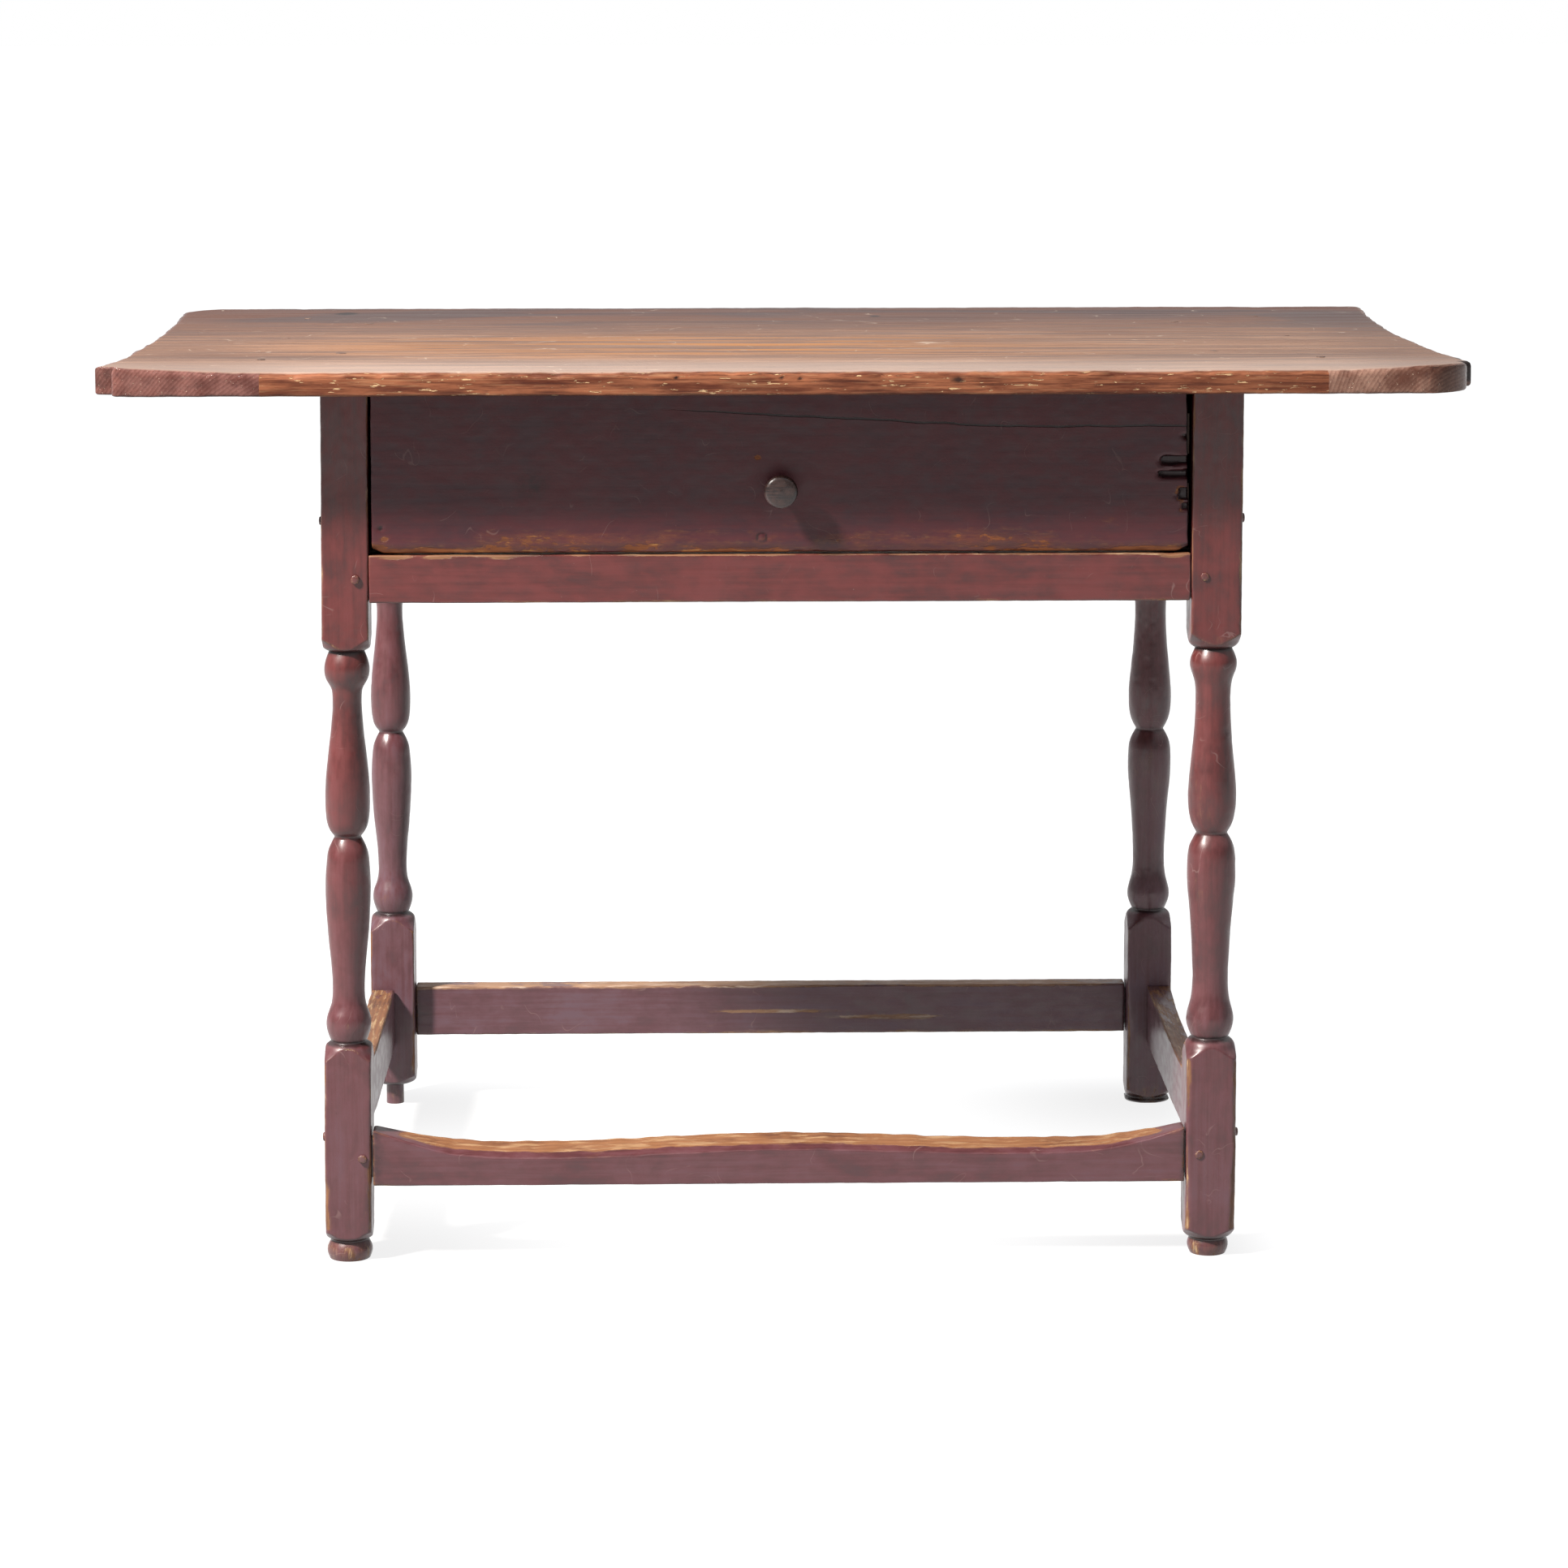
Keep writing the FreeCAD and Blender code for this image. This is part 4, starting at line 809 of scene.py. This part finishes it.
def side_stretcher_shape(x_outer, outer, inner):
    """Sinks a side stretcher's top towards its outer face, and rubs that top brown."""
    def shape(points, worn, maps):
        y, z = points[:, 1], points[:, 2]
        share = np.clip(np.abs(worn[:, 0] - x_outer) / 20, 0, 1)
        depths = [(deep * 0.8, deep, deep * 0.8) for deep in (outer, inner)]
        drop = hollowed(y, (-223.0, 223.0), share, *depths)
        maps["rub"] = largest(maps["rub"], ramp(z, 98, 103.2) * (0.72 + 0.20 * lumps(points, 60, 81)))
        # darker at both ends: painted shade where the bar meets the legs
        maps["grime"] = 0.4 * ramp(np.abs(y), 205, 223)
        return sunk(worn, drop, 53.0, 103.5)
    return shape


def back_stretcher_shape(points, worn, maps):
    """Rubs the top of the back stretcher, and scuffs its inner face in two places."""
    x, y, z = points.T
    scuff = 1.5 * spot((x, 95, 42), (z, 73.2, 2.0)) + 1.1 * spot((x, -2, 60), (z, 78.6, 1.8))
    scuff = scuff * (0.95 + 0.3 * lumps(points * (0.3, 1, 1), 5, 92)) * (y < 241)
    on_top = ramp(z, 97, 101.2) * (0.70 + 0.25 * lumps(points, 60, 91))
    maps["rub"] = np.clip(largest(maps["rub"], on_top, scuff), 0, 1)
    # darker at both ends: painted shade where the bar meets the legs
    maps["grime"] = 0.5 * ramp(np.abs(x - MIDDLE_X), 296, 306)
    return worn


def rail_shape(points, worn, maps):
    """Rubs the drawer rail's arrises, most where the drawer has splintered the upper one."""
    x, y, z = points.T
    front = ramp(y, -254, -259.4)
    upper = ramp(z, 536.8, 538.6) * front * (0.70 + 0.3 * lumps(points, 24, 170))
    for middle, reach in ((-292.0, 13.0), (-261.0, 14.0), (-212.0, 9.0), (286.0, 9.0)):
        upper = largest(upper, spot((x, middle, reach)) * ramp(z, 534.4, 537.4) * front)
    lower = ramp(z, 506, 503.6) * front * (0.4 + 0.3 * lumps(points, 30, 171))
    maps["rub"] = largest(maps["rub"] * 0.5, lower, upper)
    # painted shade on the rail's top behind its front arris, under the drawer front
    maps["grime"] = 0.9 * ramp(y, -258, -254) * ramp(z, 534, 538)
    moved = worn.copy()
    moved[:, 2] -= 1.4 * spot((x, 283, 9)) * ramp(z, 534, 539) * front
    return moved


def bar(node, low, high, steps, arris, seed, finish, slot="red_paint", **wear):
    """One of the frame's bars, with its tenons, standing for its solid.  A bar let into the front left
    leg from behind leans with it."""
    low, high = np.array(low, float), np.array(high, float)
    along = int(high[1] - low[1] > high[0] - low[0])
    skin = join([board(low, high, steps, arris, seed, **wear), *hidden_tenons(low, high, along)])
    if along == 1 and low[0] < 0:
        skin[0][:, 0] += lean(skin[0])
    make_piece(node + "_worn", skin, "frame", slot, finish, node)


bar("front_stretcher", (-314.4, -260, 59), (299.2, -240, 101.5), (2.4, 1.6, 2.0), 1.6, 101, red_worn,
    "worn_red_paint", shape=front_stretcher_shape)
bar("back_stretcher", (-312.2, 240, 59), (299.5, 260, 101.5), (3, 3, 1.3), 1.6, 111, red_back,
    shape=back_stretcher_shape)
bar("left_stretcher", (-349, -222.6, 53), (-329, 222.6, 103.5), (2.5, 3, 3), 1.8, 121, red_cross,
    shape=side_stretcher_shape(-349.0, 3.0, 1.0))
bar("right_stretcher", (317, -222.6, 53), (337, 222.6, 103.5), (2.5, 3, 3), 1.8, 131, red_cross,
    shape=side_stretcher_shape(337.0, 12.0, 2.5))
bar("back_apron", (-311.8, 240, 503), (299.8, 260, UNDER), (5, 4, 4), 1.4, 141, red_long, rub_amount=0.5)
for node, x, seed in (("left_apron", -349, 151), ("right_apron", 317, 161)):
    bar(node, (x, -222.8, 503), (x + 20, 222.8, UNDER), (4, 4, 4), 1.4, seed, red_cross, rub_amount=0.5)
bar("drawer_rail", (-312.0, -260, 503), (299.5, -238, 539), (2.4, 3, 1.6), 1.2, 181, red_long,
    shape=rail_shape)


# ---- top ------------------------------------------------------------------------------------------
# an end board's worn outer edge: where its front step is, its reach before and behind the step, how
# hollow it is, and the radii of its back and front corners
EDGES = {"left": (-304.0, 493.0, 507.0, 9.0, 45.0, 8.0), "right": (-264.0, 499.0, 507.0, 14.0, 10.0, 42.0)}
# the dark mark at each step: its amount, and where it starts and is full
STEP_MARKS = {"left": (0.45, -310, -304), "right": (1.3, -272, -264)}
CURL = 150


def bullnose(points):
    """Radius of the top's arrises: large along the upper front, small below."""
    return 2.2 + ramp(points[:, 2], 668, 676) * (1.6 + 2.4 * ramp(points[:, 1], -310, -320))


def plank_shape(points, worn, maps):
    """A top worn slightly hollow, with three nail holes and a knot in its front edge and two knots in
    its face; the side map tells the edges, which have a tone of their own, from the face."""
    x, y, z = points.T
    front, above = y < 2 - HALF_DEPTH, z > FACE - 1
    face = ramp(z, FACE - 1.5, FACE)
    moved = worn.copy()
    joint = np.minimum(x + JOINT["left"], JOINT["right"] - x)
    moved[:, 2] -= face * (0.3 + 0.12 * ramp(joint, 0, 40) * lumps(points, 120, 201))
    inner = ramp(worn[:, 2], 677.6, 680.4) * ramp(HALF_DEPTH - np.abs(y), 1.0, 5.0)
    maps["side"] = 1 - largest(inner, face * (joint < 0.1))
    marks = [spot((x, 122, 5.5), (z, 674, 2.6)) * front, 1.3 * spot((x, -366, 9.0), (y, 262, 15.0)) * above,
             1.2 * spot((x, 82, 4.5), (y, 221, 9.0)) * above]
    for nail_x, nail_z in ((-82.0, 676.0), (-7.0, 676.0), (7.7, 675.5)):
        hole = spot((x, nail_x, 1.7), (z, nail_z, 1.5)) * front
        moved[:, 1] += 1.6 * hole
        marks.append(hole * 1.4)
    maps["grime"] = largest(maps["grime"], *marks)
    return moved


make_piece("top_board_scrubbed",
           board((-JOINT["left"], -HALF_DEPTH, UNDER), (JOINT["right"], HALF_DEPTH, FACE), (3.2, 4, 1.6),
                 bullnose, 211, rub_width=6, rub_amount=0.4, shape=plank_shape, on=(15, 15)),
           "frame", "top_pine", top_pine, "top_board")


def end_edge(side, y):
    """Distance of an end board's worn outer edge from the middle of the top, at each depth y."""
    step, notched, outer, hollow, back, front_round = EDGES[side]
    chord = HALF_DEPTH - back - step
    dip = hollow * (1 - ((y - step) / chord * 2 - 1) ** 2)
    edge = np.where(y < step, notched, outer - np.clip(dip, 0, None))
    blend = ramp(y, step - 3, step + 3)
    edge = notched * (1 - blend) + edge * blend
    front = np.clip(front_round - (y + HALF_DEPTH), 0, front_round)
    rear = np.clip(y - (HALF_DEPTH - back), 0, back)
    return (edge - front_round + np.sqrt(front_round ** 2 - front ** 2)
            - back + np.sqrt(back ** 2 - rear ** 2))


def end_board(side, seed):
    """An end board: its section runs from the joint to the worn outer edge, and its front curls up."""
    inner = JOINT[side]

    def shape(points, worn, maps):
        x, _, z = points.T
        y = np.clip(worn[:, 1], -HALF_DEPTH, HALF_DEPTH)
        edge = end_edge(side, y) + 0.35 * lumps(points, 28, seed + 8) - 0.4
        share = np.clip((worn[:, 0] - inner) / (TOP_END - inner), 0, 1)
        moved = worn.copy()
        moved[:, 0] = (inner + share * (edge - inner)) * (-1.0 if side == "left" else 1.0)
        front = np.clip(CURL - HALF_DEPTH - y, 0, CURL)
        rise = ramp(z, 664, 680) * 4.3 * share ** 1.5 * (front / CURL) ** 2
        moved[:, 2] += rise - 0.3 * ramp(z, FACE - 1.5, FACE)
        crumble = ramp(points[:, 1] + HALF_DEPTH, 6, 0)
        crumble = crumble * ramp(lumps(points * (1, 1, 2), 10, seed + 9), 0.1, 0.9)
        moved[:, 1] += 0.5 * crumble * ramp(x, inner + 10, inner + 40)
        rim = np.minimum(TOP_END - x, HALF_DEPTH - np.abs(points[:, 1]))
        maps["side"] = 1 - ramp(worn[:, 2], 677.6, 680.4) * ramp(rim, 1.0, 5.0)
        amount, first, last = STEP_MARKS[side]
        mark = ramp(share, 0.94, 0.99) * ramp(y, first, last) * ramp(y, last + 54, last + 24)
        maps["grime"] = mark * amount * ramp(z, 664, 670)
        return moved

    points, quads, triangles, maps = board(
        (inner, -HALF_DEPTH, UNDER), (TOP_END, HALF_DEPTH, FACE), (3, 3, 1.6), bullnose, seed,
        rub_width=6, rub_amount=0.4, shape=shape, on=(15, 0))
    return points, quads[:, ::-1] if side == "left" else quads, triangles, maps


for side, seed, finish in (("left", 231, left_pine), ("right", 251, right_pine)):
    make_piece(f"{side}_end_board_worn", end_board(side, seed), "frame", "end_pine", finish,
               f"{side}_end_board")


# ---- pegs and pins --------------------------------------------------------------------------------
# how far pegs are from a leg's axis, and then each set's side of the frame and its heights
PEG_INSET, APRON_PEGS = 9.0, (562.0, 628.0)
PEG_X = [MIDDLE_X + way * (LEG_REACH - PEG_INSET) for way in (-1, 1)]
PEG_Y = [way * (LEG_Y - PEG_INSET) for way in (-1, 1)]
OUTER_Y = LEG_Y + HALF_STICK
LEFT_FACE, RIGHT_FACE = MIDDLE_X - LEG_REACH - HALF_STICK, MIDDLE_X + LEG_REACH + HALF_STICK
LONG = {"front_stretcher_pegs": (-1, [80.25]), "back_stretcher_pegs": (1, [80.25]),
        "drawer_rail_pegs": (-1, [521.0]), "back_apron_pegs": (1, APRON_PEGS)}
CROSS = {"left_stretcher_pegs": (-1, [91.0]), "right_stretcher_pegs": (1, [91.0]),
         "left_apron_pegs": (-1, APRON_PEGS), "right_apron_pegs": (1, APRON_PEGS)}
PIN_Z = 680.6


def peg_heads(places, direction, radius, proud, seed, inside=4.0, facets=8, count=48):
    """Peg heads: low domes whose outline is a whittled polygon, each turned and sized by chance.
    A ring's radius is the polygon's, shrunk towards the crown by a quarter ellipse.  Proud is one
    height for all, or one for each."""
    chance = np.random.default_rng(seed)
    direction = np.array(direction, float)
    first = np.array([0.0, 0.0, 1.0] if abs(direction[2]) < 0.5 else [1.0, 0.0, 0.0])
    second = np.cross(direction, first)
    angle = np.linspace(0, 2 * np.pi, count, endpoint=False)
    spokes = np.outer(np.cos(angle), first) + np.outer(np.sin(angle), second)
    sector = 2 * np.pi / facets
    climb = (np.linspace(0, 1, 9) ** 0.8 * np.pi / 2)[:-1]
    size = np.append(1.0, 0.90 * np.cos(climb * 0.96) + 0.10)[:, None]
    skins = []
    for place, height in zip(places, np.broadcast_to(proud, len(places))):
        turn = chance.uniform(0, np.pi)
        within = (angle + turn) % sector - sector / 2
        outline = radius * chance.uniform(0.93, 1.0) * np.cos(sector / 2) / np.cos(within)
        outline *= 1 + 0.05 * np.cos(2 * (angle - chance.uniform(0, 3)))
        outline = np.minimum(outline, radius)
        rise = np.append(-inside, height - 0.65 * min(height, 1.5) * (1 - np.sin(climb)))[:, None]
        grid = np.array(place, float) + (outline * size)[..., None] * spokes + rise[..., None] * direction
        rub = np.where((size < 0.97) & (size > 0.6), 0.48, 0.15)
        # the buried ring is dark, so a faint painted shade reaches the root of each head
        skins.append(lathe_skin(grid, rub=rub, grime=np.where(rise < 0.0, 0.9, 0.0), side=size * 0))
        skins[-1][3]["rub"][-1] = 0.1
    return join(skins)


def peg_set(node, places, direction, seed, finish=red_peg, slot="painted_peg", **form):
    heads = peg_heads(places, direction, seed=seed, **form)
    make_piece(node + "_heads", heads, "frame", slot, finish, node)


for number, (node, (way, heights)) in enumerate(LONG.items()):
    peg_set(node, [(x, way * OUTER_Y, z) for x in PEG_X for z in heights], (0, way, 0), 300 + number,
            radius=3.5, proud=1.4)
for number, (node, (way, heights)) in enumerate(CROSS.items()):
    places = [(LEFT_FACE if way < 0 else RIGHT_FACE, y, z) for y in PEG_Y for z in heights]
    if way < 0:
        face = MIDDLE_X - LEG_REACH - LEGS["front_left"][0]
        places[:len(heights)] = [(face + lean_of("front_left", z), PEG_Y[0], z) for z in heights]
    proud = [3.4 if way < 0 else 4.4] + [1.5] * (len(places) - 1)
    peg_set(node, places, (way, 0, 0), 320 + number, radius=3.5, proud=proud)
peg_set("top_pins", [(x, y, PIN_Z) for x in (-339.0, 327.0) for y in (-150.0, 150.0)], (0, 0, 1), 340,
        pin_wood, "pin_wood", radius=4.5, proud=0.4, inside=3.0, facets=7)
for side, x, seed in (("left", -394.0, 350), ("right", 401.0, 351)):
    peg_set(f"{side}_end_board_pegs", [(x, -210.0, PIN_Z + 0.3), (x, 0.0, PIN_Z), (x, 210.0, PIN_Z)],
            (0, 0, 1), seed, pin_wood, "pin_wood", radius=3.5, proud=0.3, inside=3.0, facets=6)


# ---- drawer ---------------------------------------------------------------------------------------
# broken places at the drawer front's right end: from x, lowest and highest z, depth
NOTCHES = ((277.0, 605.0, 611.6, 5.0), (276.8, 595.0, 600.6, 5.0), (289.5, 579.2, 587.6, 4.5),
           (291.0, 571.2, 576.0, 3.5), (292.0, 624.5, 627.5, 2.5))
# the drawer front's ends and its lower edge, where its face begins, and below what height the broken
# places still show fresh wood
DRAWER_LEFT, DRAWER_RIGHT, DRAWER_FOOT, FRESH_BELOW = -310, 298, 540.2, 590
# (reach, radius) of the knob
KNOB = [(0.0, 8.0), (3.0, 7.0), (8.0, 6.0), (13.0, 7.6), (17.0, 11.0), (21.0, 12.4), (23.2, 11.2),
        (24.5, 6.5), (24.9, 0.6)]


def drawer_front_shape(points, worn, maps):
    """The drawer front: its lower edge is worn round, its bottom corners are rubbed away, and its right
    end has lost splinters where it is dovetailed.  It has a dent, a scar, a smudge, a hole and a plug."""
    x, y, z = points.T
    front = ramp(y, -247, -259)
    above = z - DRAWER_FOOT
    near_end = ramp(np.minimum(x - DRAWER_LEFT, DRAWER_RIGHT - x), 10, 0)
    moved = worn.copy()
    moved[:, 1] += front * 2.0 * ramp(above, 8, 0) * (1 + 0.15 * lumps(points, 26, 401))
    moved[:, 2] += 3.6 * near_end * ramp(above, 9, 0) ** 2
    ragged_end = 1.5 * ramp(z, 560, 655) + 0.4 + 0.6 * np.abs(lumps(points, 16, 402))
    moved[:, 0] -= ragged_end * ramp(x, 290, 297.6)
    ragged = 1.6 * lumps(points * (0.4, 1, 1), 5, 405)
    ragged_x, ragged_z = x + 2 * ragged, z + 0.4 * ragged
    torn = fresh = np.zeros(len(points))
    for x_from, low, high, depth in NOTCHES:
        inside = ramp(ragged_x, x_from - 0.8, x_from + 0.8)
        inside = inside * ramp(ragged_z, low - 0.7, low + 0.7) * ramp(ragged_z, high + 0.7, high - 0.7)
        moved[:, 1] += front * inside * depth
        torn = largest(torn, inside * front)
        if low < FRESH_BELOW:
            halo = ramp(ragged_x, x_from - 3.5, x_from - 0.5) * ramp(z, low - 2.6, low - 0.4)
            fresh = largest(fresh, 0.9 * halo * ramp(z, high + 2.6, high + 0.4) * (1 - inside) * front)
    lower = ramp(above, 9, 1) * (0.60 + 0.22 * lumps(points * (0.3, 1, 1), 30, 403))
    wide = 0.46 * ramp(above, 34, 6) * (0.75 + 0.6 * lumps(points * (0.3, 1, 2), 26, 406))
    corner = 0.85 * ramp(x, -284, -308) * ramp(above, 13, 3)
    dent = 1.2 * spot((x, -23.1, 2.5), (z, 611.0, 2.0))
    scar = 0.9 * spot((x, -300, 4.0), (z, 551.0, 2.4))
    arris = maps["rub"] * (0.25 + 0.75 * ramp(z, 600, 550))
    rub = np.clip(largest(arris, front * largest(lower, wide, corner, dent, scar), fresh), 0, 1)
    maps["rub"] = largest(rub * (1 - torn) * (1 - 0.7 * ramp(x, 292, 296)), ramp(y, -256, -252))
    smudge = 0.62 * spot((x, -190, 14), (z, 592, 12)) * front * (1 + 0.3 * lumps(points, 7, 407))
    hole = 1.5 * spot((x, -303, 1.6), (z, 559, 1.6)) * front
    from_plug = np.hypot(x + 20, z - 551.7)
    plug = spot((from_plug, 3.6, 0.9)) * front
    moved[:, 1] += 1.2 * hole + 0.5 * plug - 0.5 * ramp(from_plug, 3.4, 2.4) * front
    # painted shade in a band under the top and in the gap at the right end; the smudge is dirt
    shade_and_dirt = np.clip(largest(smudge, hole, torn * 1.1, plug * 0.8), 0, 1)
    maps["grime"] = largest(shade_and_dirt, 0.35 * ramp(z, 650, 661) * front, 0.95 * ramp(x, 296.2, 297.8))
    return moved


make_piece("drawer_front_worn",
           board((-309.6, -260, DRAWER_FOOT), (DRAWER_RIGHT, -240.1, 661.5), (2.2, 3, 1.4), 1.6, 411,
                 rub_width=3, rub_amount=0.45, shape=drawer_front_shape),
           "drawer", "dark_red_paint", red_drawer, "drawer_front")


def knob(centre):
    """The turned knob: its smooth profile spun about its axis, a map of painted reflection on its lower
    lip, and a stub that runs back into the drawer front."""
    reach, radius = np.concatenate([[(-6.0, 8.0)], smooth_run(KNOB)]).T[..., None]
    radius[1:] = np.clip(radius[1:], 0.3, 12.5)
    angle = np.linspace(0, 2 * np.pi, 96, endpoint=False)
    grid = np.stack([radius * np.cos(angle), angle * 0 - reach, radius * np.sin(angle)], axis=-1) + centre
    # the map on the lower lip is a painted reflection of the floor
    rub = ramp(radius, 9.6, 12.2) * ramp(np.sin(angle), 0.1, -0.8)
    return lathe_skin(grid, rub=rub, grime=rub * 0)


make_piece("drawer_knob_turned", knob((MIDDLE_X, -260.0, 587.9)), "drawer", "knob_wood", knob_wood,
           "drawer_knob")

BARE = {
    bare_cross: ["drawer_left_side", "drawer_right_side", "left_drawer_runner", "right_drawer_runner",
                 "left_drawer_guide", "right_drawer_guide"],
    bare_long: ["drawer_back", "drawer_bottom"],
    iron: ["drawer_nails", "left_runner_nails", "right_runner_nails", "left_guide_nails",
           "right_guide_nails"],
}
for finish, names in BARE.items():
    for name in names:
        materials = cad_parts[name].data.materials
        materials.clear()
        materials.append(finish)


# ---- floor, light and camera ----------------------------------------------------------------------
def floor_finish():
    """A white floor: it looks white to the camera and to reflections, a little less within reach of each
    foot, where it keeps the table's shadow."""
    finish, steps, place = new_finish("studio_floor")
    ray = steps.outputs("LightPath")
    fold = steps.vector("ABSOLUTE", steps.vector("ADD", place, (-MIDDLE_X, 0.0, 0.0)))
    off = steps.vector("ADD", fold, (-LEG_REACH, -LEG_Y, 0.0))
    outward = steps.vector("MULTIPLY", steps.vector("MAXIMUM", off, ORIGIN), (2.0, 1.0, 1.0))
    to_foot = steps.vector("LENGTH", steps.vector("ADD", off, outward), output=1)
    bright = steps.most(ray["Is Camera Ray"] * to_foot.step(20.0, 220.0, 0.84, 1.0),
                        steps.most(ray["Is Glossy Ray"], ray["Is Transmission Ray"]))
    cloth = steps.node("BsdfDiffuse", {"Color": (0.2, 0.2, 0.2, 1.0)})
    glow = steps.node("Emission", {"Color": WHITE, "Strength": bright})
    steps.make("OutputMaterial", {"Surface": steps.node("AddShader", {0: cloth, 1: glow})})
    return finish


corners = [(-60, -60, 0), (60, -60, 0), (60, 60, 0), (-60, 60, 0)]
sheet = bpy.data.meshes.new("studio_floor")
sheet.from_pydata(corners, [], [(0, 1, 2, 3)])
sheet.materials.append(floor_finish())
new_object("studio_floor", sheet)

world = bpy.data.worlds.new("studio")
world.use_nodes = True
bpy.context.scene.world = world
world.node_tree.nodes.clear()
w = Steps(world.node_tree)
ray = w.outputs("LightPath")
_, y, z = w.axes(w.node("TexCoord", output="Generated"))
# to the camera the backdrop is white; reflections find it white overhead and dimmer low down and in front
around = y.step(-0.5, 0.2, 0.30, 0.50) + z.step(0.15, 0.7, 0.0, 0.5)
mirrored = w.most(ray["Is Glossy Ray"], ray["Is Transmission Ray"]) * around
seen = w.most(ray["Is Camera Ray"], mirrored)
cool = w.blend(seen.step(0.0, 0.1), (0.86, 0.90, 1.0, 1.0), WHITE)
w.make("OutputWorld", {"Surface": w.node("Background", {"Color": cool, "Strength": w.most(seen, 0.27)})})

light = bpy.data.lights.new("key_lamp", "AREA")
light.size = 0.44
light.energy = 318
light.color = (1.0, 0.955, 0.90)
lamp_at, lamp_aim = Vector((-2.45, -1.85, 3.15)), Vector((0, -0.1, 0.4))
facing = (lamp_at - lamp_aim).to_track_quat("Z", "Y").to_matrix().to_4x4()
new_object("key_lamp", light).matrix_world = Matrix.Translation(lamp_at) @ facing

camera = new_object("camera", bpy.data.cameras.new("camera"))
camera.data.sensor_width = 36.0
camera.data.lens = 105.81
camera.data.shift_y = -0.15
camera.data.clip_end = 200.0
camera.matrix_world = (Matrix.Translation((-0.0647, -3.6576, 0.9662)) @ Matrix.Rotation(-0.018, 4, "Z")
                       @ Matrix.Rotation(np.pi / 2 - 0.1239, 4, "X") @ Matrix.Rotation(-0.0012, 4, "Z"))
bpy.context.scene.camera = camera
bpy.context.scene.view_settings.view_transform = "Standard"
